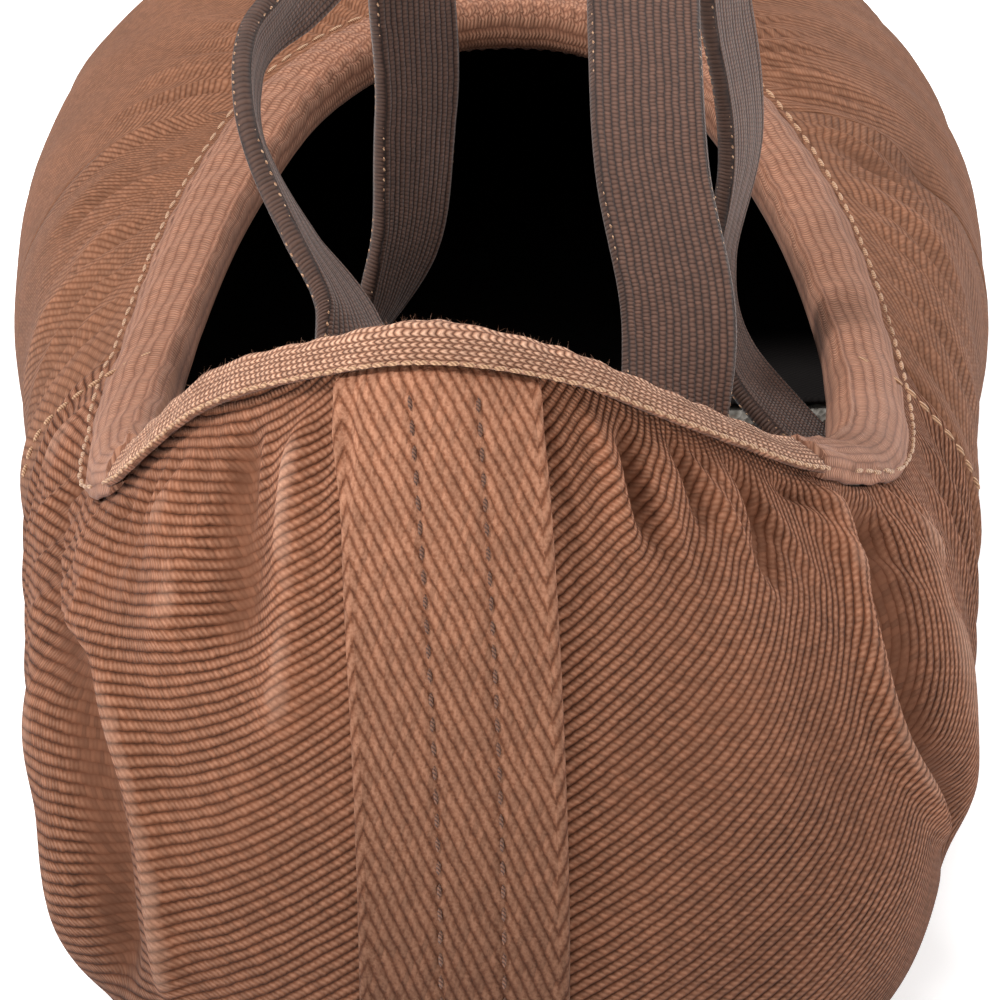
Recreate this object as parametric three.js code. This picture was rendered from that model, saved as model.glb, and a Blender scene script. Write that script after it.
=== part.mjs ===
// Split-sole ballet slipper in stretch canvas, with two crossed elastic straps.
// Millimetres. The toe points to +Y, the heel to -Y, +Z is up and the soles rest on z = 0.
import * as THREE from 'three';

// ---- driving sizes ----
const LENGTH = 224;            // back of the heel to the tip of the toe
const BALL_WIDTH = 84.6;       // widest part of the forefoot
const HEEL_WIDTH = 61;         // widest part of the heel
const RIM_HEIGHT = 52;         // top of the heel above the floor
const EQUATOR_HEIGHT = 13;     // height at which the sides are widest
const ARCH_RISE = 6;           // how far the arch stands off the floor
const CANVAS = 0.9;            // thickness of the outer canvas
const LINING = 0.5;            // thickness of the cotton lining
const GAP = 0.3;               // clearance left between neighbouring pieces
const TRIM = 0.8;              // thickness of the binding, casing and back tape
const TAPE_WIDTH = 13;         // back tape over the heel seam
const BINDING_HEIGHT = 3.6;    // heel binding below the rim
const CASING_HEIGHT = 7.6;     // throat casing below the rim
const ELASTIC_HEIGHT = 2.8;    // elastic inside the throat casing
const STRAP_WIDTH = 7.5;       // elastic webbing of the straps
const STRAP = 1.2;             // thickness of the webbing
const STRAP_TOP = 92;          // height of the upper strap where the two cross
const SUEDE = 1.4;             // thickness of the sole patches
const FOAM = 2;                // thickness of the cushion pads
const SOCK = 0.6;              // thickness of the sock over each pad
const REAR_SEAM = 66;          // side seams, in degrees round from the heel
const FRONT_SEAM = 95;
const JUNCTION = 39.5;         // where the binding ends and the casing starts
const STEP = 5;                // degrees between the shared stations round the shoe
const SIDE_ROWS = 7;           // rows of the mesh from the rim to the widest line
const UNDER_ROWS = 6;          // and from there to the turned-under edge

const rad = THREE.MathUtils.degToRad;
const smooth = (a, b, v) => THREE.MathUtils.smoothstep(v, a, b);
const mix = THREE.MathUtils.lerp;

// ---- tables of the last: angle round from the heel, then the shape there ----
const GIRTH = [[0, 0], [15, 14.6], [22.4, 22], [27.3, 26], [32.4, 28.6], [36.9, 30.1],
  [44.7, 31.8], [57.8, 33.9], [74.5, 37.2], [90, 40.3], [98, 41.6], [110.8, 42.3], [128.5, 39.6],
  [143, 33.4], [152.7, 26.9], [164.5, 16.4], [172, 8.7], [180, 0]];
const RIM_RIGHT = [[0, -4.2, -104.2, 52], [14, 3.2, -103.4, 50.3], [21, 7.0, -101.6, 48],
  [32, 13.2, -97, 43.6], [40, 18.4, -91.5, 39.6], [50, 22.8, -76, 34.4], [58, 24.4, -57, 31.3],
  [66, 24.2, -41, 31], [80, 21.8, -19, 33], [95, 17.6, -3.0, 36], [110, 13.8, 3.7, 38],
  [130, 9.1, 8.0, 39.3], [155, 4.8, 9.8, 40], [180, 0.8, 10.2, 40.2]];
const RIM_LEFT = [[0, -4.2, -104.2, 52], [14, -10.8, -100.4, 49.6], [26, -17.4, -93.4, 45.2],
  [40, -23.4, -84, 36.8], [50, -24.2, -72, 33.6], [58, -24.0, -57, 31.6], [66, -23.0, -41, 31.4],
  [80, -20.4, -19, 33], [95, -16.2, -3.0, 36], [110, -12.2, 3.7, 38], [130, -7.5, 8.0, 39.3],
  [155, -3.2, 9.8, 40], [180, 0.8, 10.2, 40.2]];

// Smooth curve through a table's rows; the first column is the angle.
function tableCurve(rows, column) {
  const n = rows.length;
  const slope = rows.map((row, i) => {
    const a = rows[Math.max(i - 1, 0)];
    const b = rows[Math.min(i + 1, n - 1)];
    return (b[column] - a[column]) / (b[0] - a[0]);
  });
  return (angle) => {
    let i = 0;
    while (i < n - 2 && angle > rows[i + 1][0]) {
      i += 1;
    }
    const [a, b] = [rows[i], rows[i + 1]];
    const h = b[0] - a[0];
    const t = (angle - a[0]) / h;
    const t2 = t * t;
    const t3 = t2 * t;
    return (2 * t3 - 3 * t2 + 1) * a[column] + (t3 - 2 * t2 + t) * h * slope[i]
      + (3 * t2 - 2 * t3) * b[column] + (t3 - t2) * h * slope[i + 1];
  };
}

// The left side of a loop is laid before the right one, so that the curve runs through the heel.
function loop(left, right, column, mirror) {
  const before = left.slice(1).reverse().map((row) => [-row[0], mirror * row[column]]);
  const rows = [...before, ...right.map((row) => [row[0], row[column]])];
  return tableCurve(rows, 1);
}

const girthOf = loop(GIRTH, GIRTH, 1, -1);
const rimOf = [1, 2, 3].map((column) => loop(RIM_LEFT, RIM_RIGHT, column, 1));
const widthScale = (y) => mix(HEEL_WIDTH / 61, BALL_WIDTH / 84.6, smooth(-80, 10, y));

function wrap(angle) {
  return ((angle + 180) % 360 + 360) % 360 - 180;
}

// Widest line round the shoe. The heel seam leans, so angles are drawn a little to the left there.
function equator(angle) {
  const lean = 2.3 * Math.exp(-((angle / 26) ** 2));
  const turn = angle - lean;
  const y = -LENGTH / 2 * Math.cos(rad(turn));
  return new THREE.Vector2(girthOf(wrap(turn)) * widthScale(y), y);
}

function rim(angle) {
  const [x, y, z] = rimOf.map((curve) => curve(wrap(angle)));
  return new THREE.Vector3(x * widthScale(y), y * LENGTH / 224, z * RIM_HEIGHT / 52);
}

// 1 across the arch, 0 under the heel and the ball. The rise starts and ends by the side seams.
const seamAt = (angle) => -LENGTH / 2 * Math.cos(rad(angle));
const rearRise = seamAt(REAR_SEAM);
const frontRise = seamAt(FRONT_SEAM);
function archAt(y) {
  return smooth(rearRise - 8.4, rearRise + 17.6, y) * (1 - smooth(frontRise - 23.8, frontRise - 1.8, y));
}

// Outline of one side from the rim down to the turned-under edge, with its running length.
const profiles = new Map();
function profile(angle) {
  const key = angle.toFixed(4);
  if (profiles.has(key)) {
    return profiles.get(key);
  }
  const wide = equator(angle);
  const ahead = equator(angle + 0.5).sub(equator(angle - 0.5)).normalize();
  const inward = new THREE.Vector2(-ahead.y, ahead.x);
  const top = rim(angle);
  const heel = 1 - smooth(20, 75, Math.abs(wrap(angle)));
  const arch = archAt(wide.y);
  const points = [];
  for (let i = 0; i <= 24; i += 1) {
    const t = 1 - i / 24;
    const a = t * Math.PI / 2;
    const inFront = 1 - Math.cos(a) ** 1.02;
    const f = mix(inFront, t ** 1.7, heel);
    const g = mix(Math.sin(a), t, heel);
    points.push(new THREE.Vector3(mix(wide.x, top.x, f), mix(wide.y, top.y, f),
      mix(EQUATOR_HEIGHT, top.z, g)));
  }
  const low = 0.7 + ARCH_RISE * arch;
  const inset = 5.4 + 5 * arch;
  for (let i = 1; i <= 10; i += 1) {
    const a = i / 10 * Math.PI / 2;
    const shift = inset * (1 - Math.cos(a));
    points.push(new THREE.Vector3(wide.x + inward.x * shift, wide.y + inward.y * shift,
      mix(EQUATOR_HEIGHT, low, Math.sin(a))));
  }
  const flat = 4 * (1 - arch) + 0.5;
  for (let i = 1; i <= 2; i += 1) {
    const shift = inset + flat * i / 2;
    points.push(new THREE.Vector3(wide.x + inward.x * shift, wide.y + inward.y * shift, low));
  }
  const along = [0];
  for (let i = 1; i < points.length; i += 1) {
    along.push(along[i - 1] + points[i].distanceTo(points[i - 1]));
  }
  const result = { points, along, widest: along[24], corner: along[34], length: along.at(-1) };
  profiles.set(key, result);
  return result;
}

// Point on the outer surface, a running length s below the rim.
function onSurface(angle, s) {
  const { points, along } = profile(angle);
  let i = 1;
  while (i < along.length - 1 && along[i] < s) {
    i += 1;
  }
  const t = (s - along[i - 1]) / (along[i] - along[i - 1]);
  return points[i - 1].clone().lerp(points[i], t);
}

// The same point moved inward by depth, square to the surface.
function inside(angle, s, depth) {
  const down = onSurface(angle, s + 0.6).sub(onSurface(angle, s - 0.6));
  const round = onSurface(angle + 0.4, s).sub(onSurface(angle - 0.4, s));
  const outward = new THREE.Vector3().crossVectors(down, round).normalize();
  return onSurface(angle, s).addScaledVector(outward, -depth);
}

// ---- closed solids ----
function solid(points, faces) {
  let volume = 0;
  for (const [a, b, c] of faces) {
    volume += points[a].dot(new THREE.Vector3().crossVectors(points[b], points[c]));
  }
  const index = volume < 0 ? faces.flatMap(([a, b, c]) => [a, c, b]) : faces.flat();
  const geometry = new THREE.BufferGeometry();
  const flat = points.flatMap((p) => [p.x, p.y, p.z]);
  geometry.setAttribute('position', new THREE.Float32BufferAttribute(flat, 3));
  geometry.setIndex(index);
  geometry.computeVertexNormals();
  return geometry;
}

// A section of m points carried along n stations; closed caps at both ends.
function sweep(stations) {
  const n = stations.length;
  const m = stations[0].section.length;
  const points = stations.flatMap((station) => station.section);
  const faces = [];
  for (let i = 0; i < n - 1; i += 1) {
    for (let j = 0; j < m; j += 1) {
      const k = (j + 1) % m;
      faces.push([i * m + j, i * m + k, (i + 1) * m + k]);
      faces.push([i * m + j, (i + 1) * m + k, (i + 1) * m + j]);
    }
  }
  const base = (n - 1) * m;
  const turned = THREE.ShapeUtils.isClockWise(stations[0].outline);
  for (const [a, p, q] of THREE.ShapeUtils.triangulateShape(stations[0].outline, [])) {
    const [b, c] = turned ? [q, p] : [p, q];
    faces.push([c, b, a]);
    faces.push([base + a, base + b, base + c]);
  }
  return solid(points, faces);
}

// A sheet between two depths; point(u, v, depth) for every u and v of the two lists.
function sheet(us, vs, near, far, point) {
  const n = us.length - 1;
  const m = vs.length - 1;
  const points = [near, far].flatMap((depth) => us.flatMap((u) => vs.map((v) => point(u, v, depth))));
  const at = (layer, i, j) => layer * (n + 1) * (m + 1) + i * (m + 1) + j;
  const faces = [];
  for (let i = 0; i < n; i += 1) {
    for (let j = 0; j < m; j += 1) {
      faces.push([at(0, i, j), at(0, i + 1, j), at(0, i + 1, j + 1)]);
      faces.push([at(0, i, j), at(0, i + 1, j + 1), at(0, i, j + 1)]);
      faces.push([at(1, i, j), at(1, i + 1, j + 1), at(1, i + 1, j)]);
      faces.push([at(1, i, j), at(1, i, j + 1), at(1, i + 1, j + 1)]);
    }
  }
  const wall = ([i, j], [p, q]) => {
    faces.push([at(0, i, j), at(1, i, j), at(1, p, q)]);
    faces.push([at(0, i, j), at(1, p, q), at(0, p, q)]);
  };
  for (let i = 0; i < n; i += 1) {
    wall([i, 0], [i + 1, 0]);
    wall([i + 1, m], [i, m]);
  }
  for (let j = 0; j < m; j += 1) {
    wall([0, j + 1], [0, j]);
    wall([n, j], [n, j + 1]);
  }
  return solid(points, faces);
}

const range = (n) => Array.from({ length: n + 1 }, (_, i) => i);
const fractions = (n) => range(n).map((i) => i / n);

// Angles of the shared stations between two ends, with the ends themselves.
function stationsBetween(from, to) {
  const inner = range(Math.ceil((to - from) / STEP))
    .map((i) => (Math.floor(from / STEP) + 1 + i) * STEP)
    .filter((angle) => angle > from + 1.2 && angle < to - 1.2);
  return [from, ...inner, to];
}

// ---- cloth pieces ----
// Top edge of the canvas and lining: under the binding at the heel, lower under the casing.
function topEdge(angle) {
  const side = Math.abs(wrap(angle));
  const casing = TRIM + GAP + ELASTIC_HEIGHT + GAP;
  return mix(TRIM + GAP, casing, smooth(JUNCTION - 4.5, JUNCTION + 0.5, side));
}

// Degrees that span a length along the rim direction, at one place.
function degreesFor(length, angle, s) {
  const speed = onSurface(angle + 0.5, s).distanceTo(onSurface(angle - 0.5, s));
  return length / speed;
}

// Running length of a mesh row: the rim's edge, the widest line, the corner below, the last edge.
function rowLength(angle, row) {
  const { widest, corner, length } = profile(angle);
  if (row <= SIDE_ROWS) {
    return mix(topEdge(angle), widest, row / SIDE_ROWS);
  }
  if (row <= SIDE_ROWS + UNDER_ROWS) {
    return mix(widest, corner, (row - SIDE_ROWS) / UNDER_ROWS);
  }
  return mix(corner, length, row - SIDE_ROWS - UNDER_ROWS);
}

const LAST_ROW = SIDE_ROWS + UNDER_ROWS + 1;

function clothPatch(from, to, rows, near, far) {
  return sheet(stationsBetween(from, to), rows, near, far, (raw, row, depth) => {
    const s = rowLength(raw, row);
    const edge = degreesFor(GAP / 2, raw, s);
    const angle = raw === from ? raw + edge : raw === to ? raw - edge : raw;
    return inside(angle, s, depth);
  });
}

// Stretch panel that runs down one side, under the arch and up the other side.
function archPatch(near, far) {
  const under = 9;
  const total = 2 * LAST_ROW + under;
  const from = REAR_SEAM + 0.35;
  const to = FRONT_SEAM - 0.35;
  const base = (turn, k) => {
    const angle = k < total / 2 ? turn : -turn;
    const fromEnd = Math.min(k, total - k);
    if (fromEnd <= LAST_ROW) {
      return onSurface(angle, rowLength(angle, fromEnd));
    }
    const a = onSurface(turn, profile(turn).length);
    const b = onSurface(-turn, profile(-turn).length);
    return a.lerp(b, (k - LAST_ROW) / under);
  };
  return sheet(stationsBetween(from, to), range(total), near, far, (turn, k, depth) => {
    const fromEnd = Math.min(k, total - k);
    if (fromEnd < LAST_ROW - 1) {
      const angle = k < total / 2 ? turn : -turn;
      return inside(angle, rowLength(angle, fromEnd), depth);
    }
    const alongShoe = base(turn + 0.4, k).sub(base(turn - 0.4, k));
    const down = base(turn, k + 0.3).sub(base(turn, k - 0.3));
    const outward = new THREE.Vector3().crossVectors(down, alongShoe).normalize();
    return base(turn, k).addScaledVector(outward, -depth);
  });
}

function backTape() {
  return sheet(fractions(6), fractions(16), -GAP - TRIM, -GAP, (u, v, depth) => {
    const { length } = profile(0);
    const s = mix(BINDING_HEIGHT + GAP, length - 9, v);
    const half = degreesFor(TAPE_WIDTH / 2, 0, s);
    return inside(mix(-half, half, u), s, depth);
  });
}

function ring(from, to, outlineFor) {
  return sweep(stationsBetween(from, to).map((angle) => {
    const outline = outlineFor(angle);
    return {
      outline: outline.map(([s, d]) => new THREE.Vector2(s, d)),
      section: outline.map(([s, d]) => inside(angle, s, d)),
    };
  }));
}

// Folded edge trim: outer leg, fold over the rim, inner leg.
function rimFold(from, to, heightFor) {
  const outer = -GAP - TRIM;
  const inner = CANVAS + GAP + LINING + GAP;
  return ring(from, to, (angle) => {
    const h = heightFor(angle);
    const [a, b] = [mix(TRIM, h, 0.66), mix(TRIM, h, 0.33)];
    return [[h, outer], [a, outer], [b, outer], [0.5, outer], [0, outer + 0.6],
      [0, inner + TRIM - 0.6], [0.5, inner + TRIM], [b, inner + TRIM], [a, inner + TRIM],
      [h, inner + TRIM], [h, inner], [a, inner], [b, inner], [TRIM, inner],
      [TRIM, -GAP], [b, -GAP], [a, -GAP], [h, -GAP]];
  });
}

// The casing widens from the binding's height to its own on each side.
function casingHeight(angle) {
  const past = Math.abs(wrap(angle)) - JUNCTION;
  return mix(BINDING_HEIGHT, CASING_HEIGHT, smooth(0, 12, past));
}

function throatElastic() {
  const start = JUNCTION + 5.5;
  const high = TRIM + GAP;
  const low = high + ELASTIC_HEIGHT;
  return ring(start, 360 - start, () => [[high, 0], [high, 1.7], [low, 1.7], [low, 0]]);
}

// ---- flat pieces of the sole ----
// Outline inside the cloth: the turned-under edge, or the hollow at a height, pulled in by a gap.
function soleOutline(from, to, n, place, cut) {
  const points = [];
  for (let i = 0; i <= n; i += 1) {
    const p = place(mix(from, to, i / n));
    points.push(new THREE.Vector2(p.x, p.y));
  }
  const last = points.at(-1);
  const first = points[0];
  for (let i = 1; i < 8; i += 1) {
    const t = i / 8;
    const bow = cut * Math.sin(Math.PI * t);
    points.push(new THREE.Vector2(mix(last.x, first.x, t), mix(last.y, first.y, t) + bow));
  }
  return points;
}

function slab(outline, low, high) {
  const shape = new THREE.Shape(outline);
  const geometry = new THREE.ExtrudeGeometry(shape, { depth: high - low, bevelEnabled: false });
  geometry.translate(0, 0, low);
  return geometry;
}

// Place on the outer surface at a height under the widest line, moved square inward.
function outlineAt(height, margin) {
  return (angle) => {
    const { widest, corner } = profile(angle);
    let [a, b] = [widest, corner];
    for (let i = 0; i < 20; i += 1) {
      const s = (a + b) / 2;
      [a, b] = onSurface(angle, s).z > height ? [s, b] : [a, s];
    }
    const ahead = onSurface(angle + 0.4, a).sub(onSurface(angle - 0.4, a));
    const inward = new THREE.Vector3(-ahead.y, ahead.x, 0).normalize();
    return onSurface(angle, a).addScaledVector(inward, margin);
  };
}

function edgeOf(margin) {
  return (angle) => {
    const { points } = profile(angle);
    const a = points.at(-2);
    const b = points.at(-1);
    const inward = b.clone().sub(a).setZ(0).normalize();
    return b.clone().addScaledVector(inward, margin);
  };
}

// ---- elastic straps ----
// Flat webbing along a curve; each row is a centre point and the direction of its width.
function webbing(rows) {
  const centre = new THREE.CatmullRomCurve3(rows.map(([p]) => p), false, 'centripetal');
  const across = new THREE.CatmullRomCurve3(rows.map(([, w]) => w), false, 'centripetal');
  const n = 56;
  const stations = [];
  for (let i = 0; i <= n; i += 1) {
    const t = i / n;
    const p = centre.getPoint(t);
    const tangent = centre.getTangent(t);
    const w = across.getPoint(t);
    w.addScaledVector(tangent, -w.dot(tangent)).normalize();
    const side = new THREE.Vector3().crossVectors(tangent, w);
    const outline = [[-1, -1], [1, -1], [1, 1], [-1, 1]];
    stations.push({
      outline: outline.map(([a, b]) => new THREE.Vector2(a, b)),
      section: outline.map(([a, b]) => p.clone()
        .addScaledVector(w, a * STRAP_WIDTH / 2)
        .addScaledVector(side, b * STRAP / 2)),
    });
  }
  return sweep(stations);
}

// Sewn end of a strap against the lining: centre point and direction round the wall.
function sewnEnd(angle, s, depth) {
  const p = inside(angle, s, depth);
  const w = onSurface(angle + 1, s).sub(onSurface(angle - 1, s)).normalize();
  return [p, w];
}

const v3 = (x, y, z) => new THREE.Vector3(x, y, z);
const STRAP_DEPTH = CANVAS + GAP + LINING + GAP + TRIM + GAP + STRAP / 2 + 1.6;

// A strap's free point. It keeps its place over the throat when the slipper's sizes change.
function free(x, y, z) {
  const high = z > 52 ? mix(RIM_HEIGHT, STRAP_TOP, (z - 52) / 40) : z * RIM_HEIGHT / 52;
  return new THREE.Vector3(x * HEEL_WIDTH / 61, y * LENGTH / 224, high);
}

// From the left of the heel, bulging out to the left, over the throat, down to the right side.
function strapOver() {
  const heelLow = sewnEnd(-12, 15, STRAP_DEPTH + 0.4);
  const heelHigh = sewnEnd(-12, 7, STRAP_DEPTH + 0.9);
  const sideLow = sewnEnd(62, CASING_HEIGHT + 5.9, STRAP_DEPTH);
  const sideHigh = sewnEnd(61, CASING_HEIGHT + 1.9, STRAP_DEPTH + 0.6);
  return webbing([
    heelLow,
    heelHigh,
    [free(-9.5, -91, 48.6), v3(0.5, 0.85, 0)],
    [free(-12.7, -88, 53), v3(0.3, 0.95, 0)],
    [free(-16, -84, 59.2), v3(0.2, 0.97, 0.1)],
    [free(-15.9, -79.5, 62.6), v3(0.35, 0.92, 0)],
    [free(-13.3, -75.5, 65.5), v3(0.5, 0.86, 0)],
    [free(-9.6, -70.5, 70), v3(0.7, 0.7, 0)],
    [free(-4, -64, 77.5), v3(0.8, 0.6, 0)],
    [free(2, -56.5, 85), v3(0.85, 0.5, 0)],
    [free(8, -50, 87.5), v3(0.8, 0.6, 0.1)],
    [free(13.4, -46.5, 81), v3(0.55, 0.83, 0.1)],
    [free(15.6, -46, 69), v3(0.4, 0.92, 0)],
    [free(16, -46, 57), v3(0.4, 0.92, 0)],
    [free(17.4, -45.5, 46.5), v3(0.35, 0.94, 0)],
    [free(15.8, -46.5, 37), v3(0.25, 0.97, 0)],
    [free(17.4, -48.2, 30.4), v3(0.15, 0.98, 0.1)],
    sideHigh,
    sideLow,
  ]);
}

// From the right of the heel, nearly straight up, over the throat below the other strap,
// down to the left side.
function strapUnder() {
  const heelLow = sewnEnd(30, 15, STRAP_DEPTH);
  const heelHigh = sewnEnd(29, 6.5, STRAP_DEPTH + 0.2);
  const sideLow = sewnEnd(-62, CASING_HEIGHT + 5.9, STRAP_DEPTH);
  const sideHigh = sewnEnd(-61, CASING_HEIGHT + 1.9, STRAP_DEPTH + 0.6);
  return webbing([
    heelLow,
    heelHigh,
    [free(11.3, -89.4, 48.6), v3(0.96, 0.25, 0)],
    [free(9.7, -83.5, 56.5), v3(0.96, 0.25, 0)],
    [free(9.4, -76, 63), v3(0.95, 0.3, 0)],
    [free(9, -67, 69), v3(0.92, 0.38, 0)],
    [free(5.6, -57.5, 75), v3(0.85, 0.5, 0)],
    [free(0, -50, 77.5), v3(0.8, 0.6, 0)],
    [free(-5, -46.4, 72), v3(0.76, 0.64, 0)],
    [free(-6.2, -46, 61), v3(0.76, 0.64, 0)],
    [free(-6, -46, 49), v3(0.72, 0.69, 0)],
    [free(-7.2, -46.5, 38), v3(0.6, 0.8, 0)],
    [free(-12, -47.5, 29.5), v3(0.2, 0.98, 0)],
    sideHigh,
    sideLow,
  ]);
}

// Blank woven tab on the inside of the right wall, below the strap's end.
function sideLabel() {
  const depth = CANVAS + GAP + LINING + GAP;
  const top = CASING_HEIGHT + 1.4;
  return sheet([50, 52, 54, 56], [top, top + 2.5, top + 5], depth, depth + 0.4, inside);
}

// ---- the object ----
const slipper = new THREE.Group();
slipper.name = 'ballet_slipper';

function add(name, geometry, colour, roughness) {
  const material = new THREE.MeshStandardMaterial({ color: colour, roughness, metalness: 0 });
  const mesh = new THREE.Mesh(geometry, material);
  mesh.name = name;
  slipper.add(mesh);
  return mesh;
}

const CANVAS_BROWN = '#8a5f4c';
const TAPE_BROWN = '#976a54';
const TRIM_BROWN = '#a0745c';
const STRAP_BROWN = '#7b5c50';
const LINING_BLACK = '#14100f';
const SUEDE_BROWN = '#6e4a3a';
const FOAM_GREY = '#b9b2a8';
const LABEL_WHITE = '#e4e0da';

const canvasRows = range(LAST_ROW);
const liningRows = [...range(LAST_ROW - 3), LAST_ROW - 2.3];
const canvas = [0, CANVAS];
const lining = [CANVAS + GAP, CANVAS + GAP + LINING];
const hollow = CANVAS + GAP + LINING + GAP;
const full = 360;

add('left_quarter', clothPatch(-REAR_SEAM, 0, canvasRows, ...canvas), CANVAS_BROWN, 0.95);
add('right_quarter', clothPatch(0, REAR_SEAM, canvasRows, ...canvas), CANVAS_BROWN, 0.95);
add('arch_panel', archPatch(...canvas), CANVAS_BROWN, 0.95);
add('vamp_canvas', clothPatch(FRONT_SEAM, full - FRONT_SEAM, canvasRows, ...canvas),
  CANVAS_BROWN, 0.95);
add('heel_lining', clothPatch(-REAR_SEAM, REAR_SEAM, liningRows, ...lining), LINING_BLACK, 0.95);
add('arch_lining', archPatch(...lining), LINING_BLACK, 0.95);
add('vamp_lining', clothPatch(FRONT_SEAM, full - FRONT_SEAM, liningRows, ...lining),
  LINING_BLACK, 0.95);
add('heel_tape', backTape(), TAPE_BROWN, 0.9);
add('heel_binding', rimFold(0.4 - JUNCTION, JUNCTION - 0.4, () => BINDING_HEIGHT), TRIM_BROWN, 0.9);
add('throat_casing', rimFold(JUNCTION + 0.4, full - JUNCTION - 0.4, casingHeight),
  TRIM_BROWN, 0.9);
add('throat_elastic', throatElastic(), '#c9b6a6', 0.9);
add('strap_over', strapOver(), STRAP_BROWN, 0.85);
add('strap_under', strapUnder(), STRAP_BROWN, 0.85);
add('side_label', sideLabel(), LABEL_WHITE, 0.9);

const heelEdge = soleOutline(0.3 - REAR_SEAM, REAR_SEAM - 0.3, 40, edgeOf(GAP), 4);
const frontEdge = soleOutline(FRONT_SEAM + 0.3, full - FRONT_SEAM - 0.3, 40, edgeOf(GAP), 0);
add('heel_outsole', slab(heelEdge, 0, SUEDE), SUEDE_BROWN, 1);
add('front_outsole', slab(frontEdge, 0, SUEDE), SUEDE_BROWN, 1);

const padLow = 0.7 + hollow + 0.2;
const heelPad = soleOutline(2 - REAR_SEAM, REAR_SEAM - 2, 28, outlineAt(padLow, hollow + 1.1), 3);
const frontPad = soleOutline(FRONT_SEAM + 2, full - FRONT_SEAM - 2, 36,
  outlineAt(padLow, hollow + 1.1), -2);
add('heel_pad', slab(heelPad, padLow, padLow + FOAM), FOAM_GREY, 0.95);
add('front_pad', slab(frontPad, padLow, padLow + FOAM), FOAM_GREY, 0.95);
add('heel_sock', slab(heelPad, padLow + FOAM + GAP, padLow + FOAM + GAP + SOCK), LINING_BLACK, 0.95);
add('front_sock', slab(frontPad, padLow + FOAM + GAP, padLow + FOAM + GAP + SOCK),
  LINING_BLACK, 0.95);

// Stand the slipper on z = 0 with the middle of its bounds on the axis.
function centre(group) {
  const box = new THREE.Box3().setFromObject(group);
  const middle = box.getCenter(new THREE.Vector3());
  for (const mesh of group.children) {
    mesh.geometry.translate(-middle.x, -middle.y, -box.min.z);
  }
}

centre(slipper);

export default slipper;
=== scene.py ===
import math

import bmesh
import bpy
import numpy as np
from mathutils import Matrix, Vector


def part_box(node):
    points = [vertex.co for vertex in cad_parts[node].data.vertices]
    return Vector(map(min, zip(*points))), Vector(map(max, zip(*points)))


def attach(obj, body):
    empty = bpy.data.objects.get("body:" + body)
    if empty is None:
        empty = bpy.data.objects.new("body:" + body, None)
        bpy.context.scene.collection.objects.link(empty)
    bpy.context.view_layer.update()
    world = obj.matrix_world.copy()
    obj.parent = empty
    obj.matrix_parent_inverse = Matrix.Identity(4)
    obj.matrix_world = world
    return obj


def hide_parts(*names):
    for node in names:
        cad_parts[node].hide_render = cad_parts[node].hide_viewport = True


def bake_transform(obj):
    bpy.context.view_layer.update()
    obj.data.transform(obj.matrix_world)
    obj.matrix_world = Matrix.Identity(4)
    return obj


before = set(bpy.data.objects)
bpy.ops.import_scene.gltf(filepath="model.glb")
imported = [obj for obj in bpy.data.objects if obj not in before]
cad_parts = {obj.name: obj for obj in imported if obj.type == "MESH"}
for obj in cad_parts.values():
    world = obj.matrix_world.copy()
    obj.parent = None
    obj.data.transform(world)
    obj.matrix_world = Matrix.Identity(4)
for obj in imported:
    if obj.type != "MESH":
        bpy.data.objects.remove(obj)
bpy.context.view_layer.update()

# ---- the last: the one surface that every cloth piece lies on, in millimetres ----
LENGTH = 224.0
BALL_WIDTH = 84.6
HEEL_WIDTH = 61.0
RIM_HEIGHT = 52.0
WIDEST_HEIGHT = 13.0
ARCH_RISE = 6.0
CANVAS = 0.9
LINING = 0.5
GAP = 0.3
TRIM = 0.8
TAPE_WIDTH = 13.0
BINDING_HEIGHT = 3.6
CASING_HEIGHT = 7.6
ELASTIC_HEIGHT = 2.8
STRAP_WIDTH = 7.5
STRAP = 1.2
STRAP_TOP = 92.0
REAR_SEAM = 66.0
FRONT_SEAM = 95.0
JUNCTION = 39.5

GIRTH = [(0, 0), (15, 14.6), (22.4, 22), (27.3, 26), (32.4, 28.6), (36.9, 30.1), (44.7, 31.8), (57.8, 33.9),
         (74.5, 37.2), (90, 40.3), (98, 41.6), (110.8, 42.3), (128.5, 39.6), (143, 33.4), (152.7, 26.9),
         (164.5, 16.4), (172, 8.7), (180, 0)]
RIM_RIGHT = [(0, -4.2, -104.2, 52), (14, 3.2, -103.4, 50.3), (21, 7, -101.6, 48), (32, 13.2, -97, 43.6),
             (40, 18.4, -91.5, 39.6), (50, 22.8, -76, 34.4), (58, 24.4, -57, 31.3), (66, 24.2, -41, 31),
             (80, 21.8, -19, 33), (95, 17.6, -3, 36), (110, 13.8, 3.7, 38), (130, 9.1, 8, 39.3),
             (155, 4.8, 9.8, 40), (180, 0.8, 10.2, 40.2)]
RIM_LEFT = [(0, -4.2, -104.2, 52), (14, -10.8, -100.4, 49.6), (26, -17.4, -93.4, 45.2), (40, -23.4, -84, 36.8),
            (50, -24.2, -72, 33.6), (58, -24, -57, 31.6), (66, -23, -41, 31.4), (80, -20.4, -19, 33),
            (95, -16.2, -3, 36), (110, -12.2, 3.7, 38), (130, -7.5, 8, 39.3), (155, -3.2, 9.8, 40),
            (180, 0.8, 10.2, 40.2)]


def smooth(a, b, v):
    """0 before a, 1 after b, and an even turn between them."""
    t = np.clip((np.asarray(v, float) - a) / (b - a), 0, 1)
    return t * t * (3 - 2 * t)


def mix(a, b, t):
    return a + (b - a) * t


def wrap(angle):
    return (np.asarray(angle, float) + 180) % 360 - 180


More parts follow.
